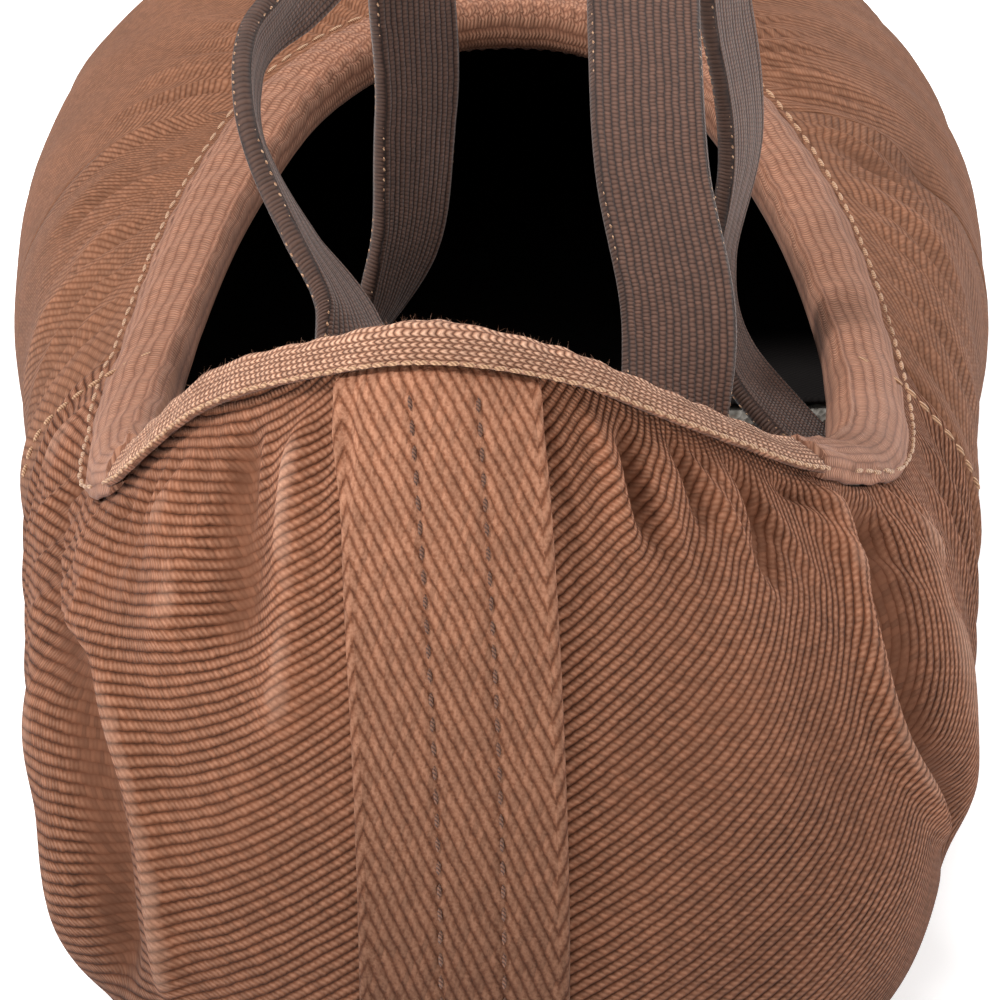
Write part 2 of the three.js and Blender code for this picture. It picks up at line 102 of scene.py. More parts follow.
def table_curve(rows):
    """A smooth curve through (position, value) rows."""
    x, y = np.array(rows, float).T
    low, high = np.maximum(np.arange(len(x)) - 1, 0), np.minimum(np.arange(len(x)) + 1, len(x) - 1)
    slope = (y[high] - y[low]) / (x[high] - x[low])

    def curve(at):
        at = np.asarray(at, float)
        i = np.clip(np.searchsorted(x, at, side="left") - 1, 0, len(x) - 2)
        h = x[i + 1] - x[i]
        t = (at - x[i]) / h
        return ((2 * t**3 - 3 * t**2 + 1) * y[i] + (t**3 - 2 * t**2 + t) * h * slope[i]
                + (3 * t**2 - 2 * t**3) * y[i + 1] + (t**3 - t**2) * h * slope[i + 1])

    return curve


def loop_curve(left, right, column, mirror=1.0):
    before = [(-row[0], mirror * row[column]) for row in reversed(left[1:])]
    return table_curve(before + [(row[0], row[column]) for row in right])


girth_curve = loop_curve(GIRTH, GIRTH, 1, -1.0)
rim_curves = [loop_curve(RIM_LEFT, RIM_RIGHT, column) for column in (1, 2, 3)]


def width_scale(y):
    return mix(HEEL_WIDTH / 61, BALL_WIDTH / 84.6, smooth(-80, 10, y))


def widest_line(angle):
    """The girth at its widest, for angles counted round from the heel seam."""
    turn = angle - 2.3 * np.exp(-((angle / 26) ** 2))
    y = -LENGTH / 2 * np.cos(np.radians(turn))
    return np.stack([girth_curve(wrap(turn)) * width_scale(y), y], -1)


def rim_line(angle):
    x, y, z = (curve(wrap(angle)) for curve in rim_curves)
    return np.stack([x * width_scale(y), y * LENGTH / 224, z * RIM_HEIGHT / 52], -1)


def seam_at(angle):
    return -LENGTH / 2 * math.cos(math.radians(angle))


def arch_at(y):
    rear, front = seam_at(REAR_SEAM), seam_at(FRONT_SEAM)
    return smooth(rear - 8.4, rear + 17.6, y) * (1 - smooth(front - 23.8, front - 1.8, y))


UPPER, UNDER, TURNED = 48, 24, 4


def profiles(angle):
    """Outlines from the rim to the turned-under edge: points, running lengths, and two marks on them."""
    angle = np.asarray(angle, float)
    wide = widest_line(angle)
    ahead = widest_line(angle + 0.5) - widest_line(angle - 0.5)
    ahead /= np.linalg.norm(ahead, axis=-1, keepdims=True)
    inward = np.stack([-ahead[:, 1], ahead[:, 0]], -1)
    top = rim_line(angle)
    heel = 1 - smooth(20, 75, abs(wrap(angle)))
    arch = arch_at(wide[:, 1])
    points = []
    for i in range(UPPER + 1):
        t = 1 - i / UPPER
        a = t * math.pi / 2
        f = mix(1 - math.cos(a) ** 1.02, t**1.7, heel)
        g = mix(math.sin(a), t, heel)
        points.append(np.stack([mix(wide[:, 0], top[:, 0], f), mix(wide[:, 1], top[:, 1], f),
                                mix(WIDEST_HEIGHT, top[:, 2], g)], -1))
    low = 0.7 + ARCH_RISE * arch
    inset = 5.4 + 5 * arch
    for i in range(1, UNDER + 1):
        a = i / UNDER * math.pi / 2
        plan = wide + inward * (inset * (1 - math.cos(a)))[:, None]
        points.append(np.concatenate([plan, mix(WIDEST_HEIGHT, low, math.sin(a))[:, None]], 1))
    for i in range(1, TURNED + 1):
        plan = wide + inward * (inset + (4 * (1 - arch) + 0.5) * i / TURNED)[:, None]
        points.append(np.concatenate([plan, low[:, None]], 1))
    points = np.stack(points, 1)
    steps = np.linalg.norm(np.diff(points, axis=1), axis=2)
    along = np.concatenate([np.zeros((len(angle), 1)), np.cumsum(steps, 1)], 1)
    return points, along


def on_last(angle, s):
    """Points at running lengths s[n, m] below the rim, for angles[n]."""
    points, along = profiles(angle)
    out = np.empty(s.shape + (3,))
    for i in range(len(angle)):
        for k in range(3):
            out[i, :, k] = np.interp(s[i], along[i], points[i, :, k])
        under = s[i] < 0
        if under.any():
            step = (points[i, 1] - points[i, 0]) / along[i, 1]
            out[i, under] = points[i, 0] + s[i, under][:, None] * step
    return out


def top_edge(angle):
    casing = TRIM + GAP + ELASTIC_HEIGHT + GAP
    return mix(TRIM + GAP, casing, smooth(JUNCTION + 0.8, JUNCTION + 5.0, abs(wrap(angle))))


def row_lengths(angle, rows):
    """Running lengths of mesh rows: 0 the cloth's top edge, 1 the widest line, 2 the corner, 3 the last edge."""
    _, along = profiles(angle)
    marks = np.stack([top_edge(angle), along[:, UPPER], along[:, UPPER + UNDER], along[:, -1]], 1)
    return np.stack([np.interp(rows, [0, 1, 2, 3], marks[i]) for i in range(len(angle))])

# ---- folds: how far the cloth stands off the last, in millimetres ----
TURNS = np.linspace(-180, 180, 1441)
RUNS = np.concatenate([[0], np.cumsum(np.linalg.norm(np.diff(widest_line(TURNS), axis=0), axis=1))])
RUNS -= np.interp(0, TURNS, RUNS)


def run_at(angle):
    """Distance round the widest line from the heel seam, positive to the right."""
    return np.interp(wrap(angle), TURNS, RUNS)


def crease(run, s, path, height, width, fade):
    """A ridge, or a valley when its height is negative, along a path of (angle, running length)."""
    marks = np.array([(run_at(angle), length) for angle, length in path], float)
    steps = np.linspace(0, len(marks) - 1, 4 * (len(marks) - 1) + 1)
    line = np.stack([table_curve(list(zip(range(len(marks)), marks[:, k])))(steps) for k in (0, 1)], -1)
    total = np.concatenate([[0], np.cumsum(np.linalg.norm(np.diff(line, axis=0), axis=1))])
    nearest, along = np.full(run.shape, 1e9), np.zeros(run.shape)
    for (x, y), (u, v), start, reach in zip(line, line[1:], total, np.diff(total)):
        t = ((run - x) * (u - x) + (s - y) * (v - y)) / reach**2
        held = np.clip(t, 0, 1)
        far = (run - x - held * (u - x)) ** 2 + (s - y - held * (v - y)) ** 2
        closer = far < nearest
        nearest, along = np.where(closer, far, nearest), np.where(closer, start + held * reach, along)
    ends = smooth(-0.01, 2 * fade, along) * (1 - smooth(total[-1] - 2 * fade, total[-1] + 0.01, along))
    return height * ends * np.exp(-nearest / width**2)


# the long folds that start where the binding meets the casing and run down and in
LEFT_FOLD = [(-53, 5.5), (-52, 8), (-45.5, 10), (-37, 13), (-30, 17.5), (-25, 24), (-22, 30), (-20.5, 36), (-20, 44)]
RIGHT_FOLD = [(38, 3), (37.4, 6), (35.5, 10), (33, 14.5), (31, 19), (29.6, 23.5), (29.8, 27.5), (32.5, 31), (37, 34)]


def beside(path, shift):
    return [(angle + shift, length) for angle, length in path]


# each crease: its path, how far it stands off (or draws in, when negative), its width, and how it fades at its ends
CREASES = [
    # left of the tape: a narrow bulge, a smooth hollow, then a broad swell
    ([(-15, 3), (-14, 10), (-13, 17), (-13, 26)], 1.25, 1.9, 2),
    ([(-22.5, 3.5), (-20.5, 8), (-18.6, 13), (-17.5, 20)], -1.7, 2.3, 2),
    ([(-28.5, 5), (-26.5, 9), (-24, 13), (-22, 20)], 0.95, 2.2, 2),
    ([(-32.5, 3.2), (-31, 7), (-29.5, 11)], -0.8, 1.0, 2),
    ([(-36, 4.4), (-33, 8), (-29, 12)], -0.5, 1.2, 2),
    ([(-43, 5.2), (-38, 9), (-33, 13)], 0.7, 1.5, 2),
    (LEFT_FOLD, 1.25, 1.25, 2), (beside(LEFT_FOLD, -5.4), -2.6, 2.5, 3), (beside(LEFT_FOLD, -12), 1.0, 4.0, 5),
    # right of the tape: pleats under the binding
    ([(15.6, 2.2), (15.2, 8), (14, 14)], 0.9, 1.3, 2),
    ([(19.6, 2), (19, 4.7), (17.5, 8.3), (16.4, 13)], -1.5, 0.9, 2),
    ([(21.8, 3), (20.4, 8), (18.5, 13)], 0.55, 1.1, 2),
    ([(24.6, 2.2), (22.8, 8), (21, 12)], -0.85, 0.8, 2),
    ([(27.6, 4), (25.4, 8), (23, 13)], 0.5, 1.1, 2),
    ([(31.2, 3), (27.8, 9.9), (24.8, 15.1)], -1.3, 1.0, 2),
    (RIGHT_FOLD, 1.3, 1.25, 2), (beside(RIGHT_FOLD, 5.2), -3.2, 2.5, 3),
    (beside(RIGHT_FOLD, 12), 1.5, 4.0, 5), (beside(RIGHT_FOLD, -6), -0.4, 2.5, 5),
    ([(45.5, 5.8), (41.5, 9), (38.5, 12.5)], -0.9, 0.9, 2),
    ([(52, 8.6), (47, 13), (43, 18)], -0.6, 1.3, 2),
    # soft folds at both sides of the throat
    ([(88, 8), (92, 16), (97, 27)], -1.1, 2.6, 3), ([(83, 8), (86, 16), (90, 26)], 0.7, 2.6, 3),
    ([(-92, 8), (-90, 14), (-86, 22)], -0.9, 2.6, 4), ([(-84, 8), (-81, 14), (-77, 22)], 0.6, 2.6, 4),
]
# each pucker: angle, running length, depth, size across and size down
PUCKERS = [(-36.2, 5.0, 1.5, 1.3, 1.0), (34.4, 5.6, 1.2, 1.1, 1.2)]


def folds(angle, s):
    """How far the outer cloth stands off the last at an angle and a running length."""
    angle, s = np.broadcast_arrays(wrap(angle), s)
    run = run_at(angle)
    tape = smooth(5.5, 8.5, abs(run))
    # small gathers all round under the trims, deepest where the elastic pulls
    below = smooth(2.5, 6, s) * (1 - smooth(7, 19, s))
    gather = (0.2 * np.sin(run * 1.62 + 1.3 * np.sin(run * 0.21 + 0.8) + 0.05 * s)
              + 0.08 * np.sin(run * 2.71 + 2 + 0.9 * np.sin(run * 0.4)))
    throat = smooth(44, 60, abs(angle))
    front = 1 - smooth(125, 165, abs(angle))
    below_casing = smooth(CASING_HEIGHT - 1.5, CASING_HEIGHT + 3, s) * (1 - smooth(13, 27, s))
    side_gather = (0.42 * np.sin(run * 0.92 + 1.1 * np.sin(run * 0.13 + 0.5) + 0.06 * s)
                   + 0.22 * np.sin(run * 1.73 + 1.4 * np.sin(run * 0.11)))
    lift = gather * below * (1 - throat) * tape + side_gather * below_casing * throat * front
    # wide slow waves of soft cloth
    wave = 0.28 * np.sin(run * 0.33 + 0.11 * s + 0.7) * np.sin(s * 0.16 + 0.4 + 0.05 * run)
    lift += wave * smooth(8, 16, s) * smooth(6, 14, abs(run))
    for path, height, width, fade in CREASES:
        lift += crease(run, s, path, height, width, fade)
    for place, length, depth, across, down in PUCKERS:
        lift -= depth * np.exp(-(((run - run_at(place)) / across) ** 2) - ((s - length) / down) ** 2)
    # the cloth draws in a little low on both sides of the heel
    lift -= 1.2 * smooth(20, 32, s) * smooth(30, 46, abs(angle)) * (1 - smooth(75, 100, abs(angle)))
    return lift


# ---- meshes ----
MM = 0.001
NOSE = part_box("vamp_canvas")[1].y - LENGTH / 2 * MM      # the CAD's own centring, along the shoe


def skin(angle, s):
    """Points and outward normals of the last; s above the rim takes the rim's own normal."""
    angle, s = np.asarray(angle, float), np.asarray(s, float)
    held = np.maximum(s, 0.3)
    round_ = on_last(angle + 0.3, held) - on_last(angle - 0.3, held)
    down = on_last(angle, held + 0.15) - on_last(angle, held - 0.15)
    normal = np.cross(down, round_)
    return on_last(angle, s), normal / np.linalg.norm(normal, axis=-1, keepdims=True)


def make(name, points, faces, material, coordinates=None, fold=None):
    """A mesh object from points in millimetres, turned so that its faces point outwards."""
    points = np.asarray(points, float).reshape(-1, 3)
    mesh = bpy.data.meshes.new(name)
    sizes = np.array([len(face) for face in faces])
    corners = np.concatenate([np.asarray(face) for face in faces])
    starts = np.concatenate([[0], np.cumsum(sizes)[:-1]])
    first, second, third = points[corners[starts]], points[corners[starts + 1]], points[corners[starts + 2]]
    volume = np.einsum("ij,ij->", first, np.cross(second, third))
    last = points[corners[starts + sizes - 1]]
    volume += np.einsum("ij,ij->", first[sizes == 4], np.cross(third[sizes == 4], last[sizes == 4]))
    if volume < 0:      # inside out
        corners = corners[np.concatenate([np.arange(a + n - 1, a - 1, -1) for a, n in zip(starts, sizes)])]
    mesh.vertices.add(len(points))
    mesh.vertices.foreach_set("co", ((points * MM) + [0, NOSE, 0]).ravel())
    mesh.loops.add(len(corners))
    mesh.loops.foreach_set("vertex_index", corners.astype(np.int32))
    mesh.polygons.add(len(sizes))
    mesh.polygons.foreach_set("loop_start", starts.astype(np.int32))
    mesh.polygons.foreach_set("loop_total", sizes.astype(np.int32))
    mesh.polygons.foreach_set("use_smooth", np.full(len(sizes), True))
    if coordinates is not None:
        layer = mesh.uv_layers.new(name="cloth")
        layer.uv.foreach_set("vector", np.asarray(coordinates, float).reshape(-1, 2)[corners].ravel())
    if fold is not None:
        layer = mesh.attributes.new("fold", "FLOAT", "POINT")
        layer.data.foreach_set("value", np.asarray(fold, float).ravel())
    mesh.update(calc_edges=True)
    mesh.validate()
    mesh.materials.append(material)
    thing = bpy.data.objects.new(name, mesh)
    bpy.context.scene.collection.objects.link(thing)
    return thing


def grid(n, m, start=0):
    """Quads of an n by m grid of points."""
    i, j = np.meshgrid(np.arange(n - 1), np.arange(m - 1), indexing="ij")
    a = (start + i * m + j).ravel()
    return np.stack([a, a + 1, a + m + 1, a + m], 1)


def walls(n, m):
    """Quads that close the edges between an outer and an inner grid."""
    edge = np.concatenate([np.arange(m), np.arange(1, n) * m + m - 1, (n - 1) * m + np.arange(m - 2, -1, -1),
                           np.arange(n - 2, 0, -1) * m])
    after = np.roll(edge, -1)
    return np.stack([edge, edge + n * m, after + n * m, after], 1)


def shell(name, outside, inside, coordinates, material, fold=None):
    """A closed sheet between an outer and an inner grid of points."""
    n, m = outside.shape[:2]
    quads = np.concatenate([grid(n, m), grid(n, m, n * m)[:, ::-1], walls(n, m)])
    coordinates = np.concatenate([coordinates.reshape(-1, 2)] * 2)
    if fold is not None:
        fold = np.concatenate([fold.ravel()] * 2)
    points = np.concatenate([outside.reshape(-1, 3), inside.reshape(-1, 3)])
    return make(name, points, quads, material, coordinates, fold)


def tube(name, sections, coordinates, material, fold=None):
    """A closed band from sections [n, k, 3], with a fan in each end."""
    n, k = sections.shape[:2]
    points = np.concatenate([sections.reshape(-1, 3), sections[0].mean(0)[None], sections[-1].mean(0)[None]])
    i, j = np.meshgrid(np.arange(n - 1), np.arange(k), indexing="ij")
    a, b = (i * k + j).ravel(), (i * k + (j + 1) % k).ravel()
    quads = [tuple(q) for q in np.stack([a, b, b + k, a + k], 1)]
    for j in range(k):
        quads.append((n * k, (j + 1) % k, j))
        quads.append((n * k + 1, (n - 1) * k + j, (n - 1) * k + (j + 1) % k))
    flat = coordinates.reshape(-1, 2)
    flat = np.concatenate([flat, coordinates[0].mean(0)[None], coordinates[-1].mean(0)[None]])
    if fold is not None:
        fold = np.concatenate([fold.ravel(), [0, 0]])
    return make(name, points, quads, material, flat, fold)


# ---- cloth patches ----
TWILL_SLOPE = 28.7       # degrees that the ribs of the canvas rise


def grain(run, height, left_slope, right_slope):
    """Weave coordinates in millimetres, sheared so that the twill's ribs rise at the slope the cloth has there."""
    rise = math.tan(math.radians(TWILL_SLOPE))
    steps = np.linspace(-150, 150, 1201)
    slope = np.where(steps < 0, left_slope(-steps), right_slope(steps))
    shear = rise - np.tan(np.radians(slope))
    total = np.concatenate([[0], np.cumsum((shear[1:] + shear[:-1]) / 2 * np.diff(steps))])
    total -= np.interp(0, steps, total)
    return np.stack(np.broadcast_arrays(run, height + np.interp(run, steps, total)), -1)


def heel_grain(run, height):
    return grain(run, height, lambda r: mix(36, 13, smooth(9, 26, r)),
                 lambda r: 28 + 14 * smooth(14, 28, r) + 6 * smooth(30, 38, r))


def patch(name, first, last, columns, outer, inner, material, bottom=3.0, rows=110):
    """Cloth from one angle to another and from the rim down, between two depths into the last."""
    angle = np.linspace(first, last, columns)
    s = row_lengths(angle, np.linspace(0.0, bottom, rows))
    surface, normal = skin(angle, s)
    lift = folds(angle[:, None], s)
    _, along = profiles(angle)
    run = run_at(angle)[:, None]
    if first > 90:
        drop = np.maximum(0, 40 - surface[..., 2])
        coordinates = np.stack([surface[..., 0] + np.sign(surface[..., 0]) * 0.9 * drop * abs(surface[..., 0]) / 42,
                                surface[..., 1] + 1.25 * drop * (surface[..., 1] / 112) ** 3], -1)
    else:
        coordinates = heel_grain(run, along[:, -1:] - s)
    return shell(name, surface + normal * (lift - outer)[..., None], surface + normal * (lift - inner)[..., None],
                 coordinates, material, lift)


def arch_patch(name, outer, inner, material, columns=36, rows=64):
    """Down one side, under the arch and up the other side."""
    turn = np.linspace(REAR_SEAM + 0.03, FRONT_SEAM - 0.03, columns)
    low = 2.85
    halves = []
    for side in (1, -1):
        s = row_lengths(side * turn, np.linspace(0, low, rows))
        surface, normal = skin(side * turn, s)
        halves.append((surface, normal, folds((side * turn)[:, None], s), profiles(side * turn)[1][:, -1:] - s))
    (right, right_normal, right_lift, right_up), (left, left_normal, left_lift, left_up) = halves
    edge_right, edge_left = right[:, -1], left[:, -1]
    k = np.linspace(0, 1, 20)[1:-1][None, :, None]
    under = mix(edge_right[:, None], edge_left[:, None], k)
    plain = np.broadcast_to([0.0, 0.0, -1.0], under.shape)
    ease = smooth(0, 0.12, k) * (1 - smooth(0.88, 1, k))
    under_normal = mix(np.where(k < 0.5, right_normal[:, -1:], left_normal[:, -1:]), plain, ease)
    under_normal /= np.linalg.norm(under_normal, axis=-1, keepdims=True)
    surface = np.concatenate([right, under, left[:, ::-1]], 1)
    normal = np.concatenate([right_normal, under_normal, left_normal[:, ::-1]], 1)
    lift = np.concatenate([right_lift, np.zeros(under.shape[:2]), left_lift[:, ::-1]], 1)
    span = np.linalg.norm(edge_right - edge_left, axis=1)[:, None]
    up = np.concatenate([right_up, -span * k[..., 0], -span - left_up[:, ::-1]], 1)
    run = run_at(turn)[:, None] + 0 * up
    coordinates = np.stack([run, up], -1)
    return shell(name, surface + normal * (lift - outer)[..., None], surface + normal * (lift - inner)[..., None],
                 coordinates, material, lift)


# ---- trims ----
def fold_outline(outer, inner, thick, legs=12, round_=10):
    """A strip folded over the rim, outside and then inside, as rows of (share of its height, depth)."""
    middle, half = (outer + inner) / 2, (inner - outer) / 2
    out, back = [], []
    for i in range(legs):
        out.append((mix(1, 0, i / legs), outer))
    for i in range(round_ + 1):
        a = math.pi * i / round_
        out.append((-0.85 * math.sin(a), middle - half * math.cos(a)))
    for i in range(1, legs + 1):
        out.append((mix(0, 1, i / legs), inner))
    for i in range(legs + 1):
        back.append((mix(1, 0.2, i / legs), inner - thick))
    for i in range(1, round_):
        a = math.pi * (1 - i / round_)
        back.append((0.2 - 0.45 * math.sin(a), middle - (half - thick) * math.cos(a)))
    for i in range(legs + 1):
        back.append((mix(0.2, 1, i / legs), outer + thick))
    return out, back


def rim_strip(name, angle, heights, material, bulge, ribs, taper=0.0):
    """A folded strip round part of the rim; ribs is a function of the distance along its width."""
    outer, inner = -GAP - TRIM, CANVAS + GAP + LINING + GAP + 0.45
    out, back = fold_outline(outer, inner, 0.4)
    rows = np.array(out + back)
    across = np.concatenate([np.linspace(0, 1, len(out)), np.linspace(1, 0, len(back))])
    s = np.where(rows[None, :, 0] > 0, rows[None, :, 0] * heights[:, None], rows[None, :, 0])
    depth = np.broadcast_to(rows[None, :, 1], s.shape)
    depth = np.where(depth < 0, depth * (1 - taper * smooth(0.6, 1.0, s / heights[:, None])), depth)
    surface, normal = skin(angle, s)
    lift = folds(angle[:, None], s)
    front = np.concatenate([np.ones(len(out)), np.zeros(len(back))])[None]
    width = 2 * heights[:, None] + 4
    place = across[None] * width
    puff = bulge * np.sin(np.pi * np.clip(s / heights[:, None], 0, 1)) * front * np.where(depth < 0.5, 1, -0.3)
    raised = front * ribs(place, run_at(angle)[:, None])
    puff = puff + raised * np.where(depth < 0.5, 1, -1)
    points = surface + normal * (lift + puff - depth)[..., None]
    points[..., 2] += np.where(s < 0, raised, 0)
    run = np.concatenate([[0], np.cumsum(np.linalg.norm(np.diff(surface[:, 0], axis=0), axis=1))])
    coordinates = np.stack(np.broadcast_arrays(run[:, None], place), -1)
    return tube(name, points, coordinates, material, lift + puff)


# ---- finishes ----
def paint(code):
    """An sRGB hex colour as linear RGBA."""
    value = np.array([int(code[i:i + 2], 16) for i in (1, 3, 5)]) / 255
    linear = np.where(value <= 0.04045, value / 12.92, ((value + 0.055) / 1.055) ** 2.4)
    return (*linear.tolist(), 1.0)


MATH, VECTOR, RANGE, RAMP = "ShaderNodeMath", "ShaderNodeVectorMath", "ShaderNodeMapRange", "ShaderNodeValToRGB"
RIB_PITCH = 0.66         # millimetres from one twill rib to the next
ROW_SHIFT = 0.37         # how far each row's loops or strands start from the last row's


def add(tree, kind, *inputs, take=0, stops=(), **settings):
    """One node with its settings, its colour stops, and its inputs set or linked.

    Inputs are given in order, or by name in a dict. Returns the output that take says, or all of them for None."""
    node = tree.nodes.new(kind)
    for name, value in settings.items():
        setattr(node, name, value)
    if stops:
        ramp = node.color_ramp.elements
        while len(ramp) < len(stops):
            ramp.new(0.5)
        for element, (place, code) in zip(ramp, stops):
            element.position, element.color = place, paint(code)
    named = inputs[0] if inputs and isinstance(inputs[0], dict) else dict(enumerate(inputs))
    for key, value in named.items():
        if isinstance(value, bpy.types.NodeSocket):
            tree.links.new(value, node.inputs[key])
        else:
            node.inputs[key].default_value = value
    return node.outputs if take is None or not node.outputs else node.outputs[take]


def finish(tree, colour, height, depth_mm, roughness, sheen, specular=0.25):
    """The cloth's shader, from its colour and its height; depth is the relief of the weave in millimetres."""
    bump = add(tree, "ShaderNodeBump", {"Strength": 1.0, "Distance": depth_mm * MM, "Height": height})
    shader = add(tree, "ShaderNodeBsdfPrincipled",
                 {"Base Color": colour, "Roughness": roughness, "Normal": bump, "Sheen Weight": sheen,
                  "Sheen Roughness": 0.45, "Specular IOR Level": specular})
    add(tree, "ShaderNodeOutputMaterial", {"Surface": shader})


def fresh(name):
    """A new material and its empty tree."""
    material = bpy.data.materials.new(name)
    material.use_nodes = True
    material.node_tree.nodes.clear()
    return material, material.node_tree


def cords(tree, x, y, slope, pitch, strand, lean=0.9, twist=0.16):
    """Twill ribs as round cords that rise at a slope in degrees, with strands laid aslant.

    Returns the height and a random number for each strand."""
    cosine, sine = math.cos(math.radians(slope)), math.sin(math.radians(slope))
    rise = add(tree, MATH, x, sine, operation="MULTIPLY")
    over = add(tree, MATH, add(tree, MATH, y, cosine, operation="MULTIPLY"), rise, operation="SUBTRACT")
    r = add(tree, MATH, over, pitch, operation="DIVIDE")
    number = add(tree, MATH, r, operation="FLOOR")
    f = add(tree, MATH, r, number, operation="SUBTRACT")
    centred = add(tree, MATH, add(tree, MATH, f, 2.0, -1.0, operation="MULTIPLY_ADD"), operation="ABSOLUTE")
    fall = add(tree, MATH, 1.0, add(tree, MATH, centred, 2.0, operation="POWER"), operation="SUBTRACT")
    belly = add(tree, MATH, add(tree, MATH, fall, 0.0, operation="MAXIMUM"), 0.95, operation="POWER")
    length = add(tree, MATH, x, cosine, add(tree, MATH, y, sine, operation="MULTIPLY"), operation="MULTIPLY_ADD")
    along = add(tree, MATH, length, strand, operation="DIVIDE")
    # each cord starts its strands elsewhere
    shifted = add(tree, MATH, number, ROW_SHIFT, along, operation="MULTIPLY_ADD")
    t = add(tree, MATH, f, lean, shifted, operation="MULTIPLY_ADD")
    strands = add(tree, MATH, add(tree, MATH, t, 2 * math.pi, operation="MULTIPLY"), operation="SINE")
    twisted = add(tree, MATH, strands, twist, 1 - twist, operation="MULTIPLY_ADD")
    height = add(tree, MATH, belly, twisted, operation="MULTIPLY")
    count = add(tree, MATH, add(tree, MATH, t, 0.25, operation="ADD"), operation="FLOOR")
    key = add(tree, "ShaderNodeCombineXYZ", {0: number, 1: count})
    chance = add(tree, "ShaderNodeTexWhiteNoise", {"Vector": key}, noise_dimensions="3D", take="Value")
    return height, chance


def tint(tree, colour, amount, low, high, start=0.0, end=1.0):
    """Colour made darker or lighter as an amount goes from start to end."""
    gain = add(tree, RANGE, {"Value": amount, "From Min": start, "From Max": end, "To Min": low, "To Max": high})
    return add(tree, VECTOR, {0: colour, "Scale": gain}, operation="SCALE")


def cloud(tree, size_mm, detail=3.0):
    """Uneven patches of a size in millimetres, from 0 to 1."""
    place = add(tree, "ShaderNodeTexCoord", take="Object")
    return add(tree, "ShaderNodeTexNoise", {"Vector": place, "Scale": 1 / (size_mm * MM), "Detail": detail})


def cloth_place(tree):
    """Weave coordinates in millimetres, a little disturbed, as woven cloth is."""
    place = add(tree, "ShaderNodeUVMap", uv_map="cloth")
    for scale, reach in ((0.35, 0.3), (2.2, 0.13)):
        waver = add(tree, "ShaderNodeTexNoise", {"Vector": place, "Scale": scale, "Detail": 2.0}, take="Color")
        moved = add(tree, VECTOR, {0: waver, 1: (0.5, 0.5, 0.5)}, operation="SUBTRACT")
        place = add(tree, VECTOR, {0: moved, 1: (reach, reach, reach), 2: place}, operation="MULTIPLY_ADD")
    return add(tree, "ShaderNodeSeparateXYZ", {0: place}, take=None)


def painted_shade_down(tree, colour, low, high, top=0.042):
    """Painted shade low down and painted light high up: the colour scaled from low near the sole to high at the top.
    """
    place = add(tree, "ShaderNodeTexCoord", take="Object")
    z = add(tree, "ShaderNodeSeparateXYZ", {0: place}, take=2)
    return tint(tree, colour, z, low, high, 0.004, top)


def stretch_canvas(name, deep, middle, bright, relief, low, high):
    """Brushed stretch cotton canvas, piece dyed: matt twill cords with dark furrows, painted shade in the fold
    valleys and towards the sole, and pale fold crests that are partly worn and partly painted highlight.
    """
    material, tree = fresh(name)
    x, y, _ = cloth_place(tree)
    height, chance = cords(tree, x, y, TWILL_SLOPE, RIB_PITCH, 0.42)     # strands 0.42 mm long
    height = add(tree, MATH, cloud(tree, 0.3, 5.0), 0.5, height, operation="MULTIPLY_ADD")
    # brushed patches and the hollows lose their ribs
    fold = add(tree, "ShaderNodeAttribute", attribute_name="fold", take="Fac")
    hollow = add(tree, RANGE, {"Value": fold, "From Min": -1.5, "From Max": -0.3, "To Min": 0.2, "To Max": 1.0})
    patches = cloud(tree, 9, 2.0)
    patchy = add(tree, RANGE, {"Value": patches, "From Min": 0.35, "From Max": 0.6, "To Min": 0.72, "To Max": 1.0})
    strength = add(tree, MATH, hollow, patchy, operation="MULTIPLY")
    relative = add(tree, MATH, height, 0.85, operation="SUBTRACT")
    height = add(tree, MATH, relative, strength, 0.85, operation="MULTIPLY_ADD")
    shown = add(tree, MATH, height, 0.8, operation="MULTIPLY")
    colour = add(tree, RAMP, shown, stops=[(0.2, deep), (0.56, middle), (0.98, bright)])
    colour = tint(tree, colour, chance, 0.84, 1.16)
    colour = tint(tree, colour, cloud(tree, 17, 3.0), 0.84, 1.16)
    colour = tint(tree, colour, fold, 0.74, 1.22, -1.4, 1.4)     # painted shade in the fold valleys; the crests paler, partly worn and partly painted highlight
    # the thin pale line on the highest crests: partly worn nap, partly a painted highlight
    high_fold = add(tree, MATH, cloud(tree, 1.5), 0.8, fold, operation="MULTIPLY_ADD")
    crest = add(tree, RANGE, {"Value": high_fold, "From Min": 1.3, "From Max": 2.0, "To Min": 0.0, "To Max": 0.5})
    colour = add(tree, "ShaderNodeMix", {"Factor": crest, "A": colour, "B": paint("#C9A08A")},
                 data_type="RGBA", take="Result")
    # painted shade low on the canvas and painted light high on it, scaled from low to high
    finish(tree, painted_shade_down(tree, colour, low, high), height, relief, 0.9, 0.03, 0.12)
    return material


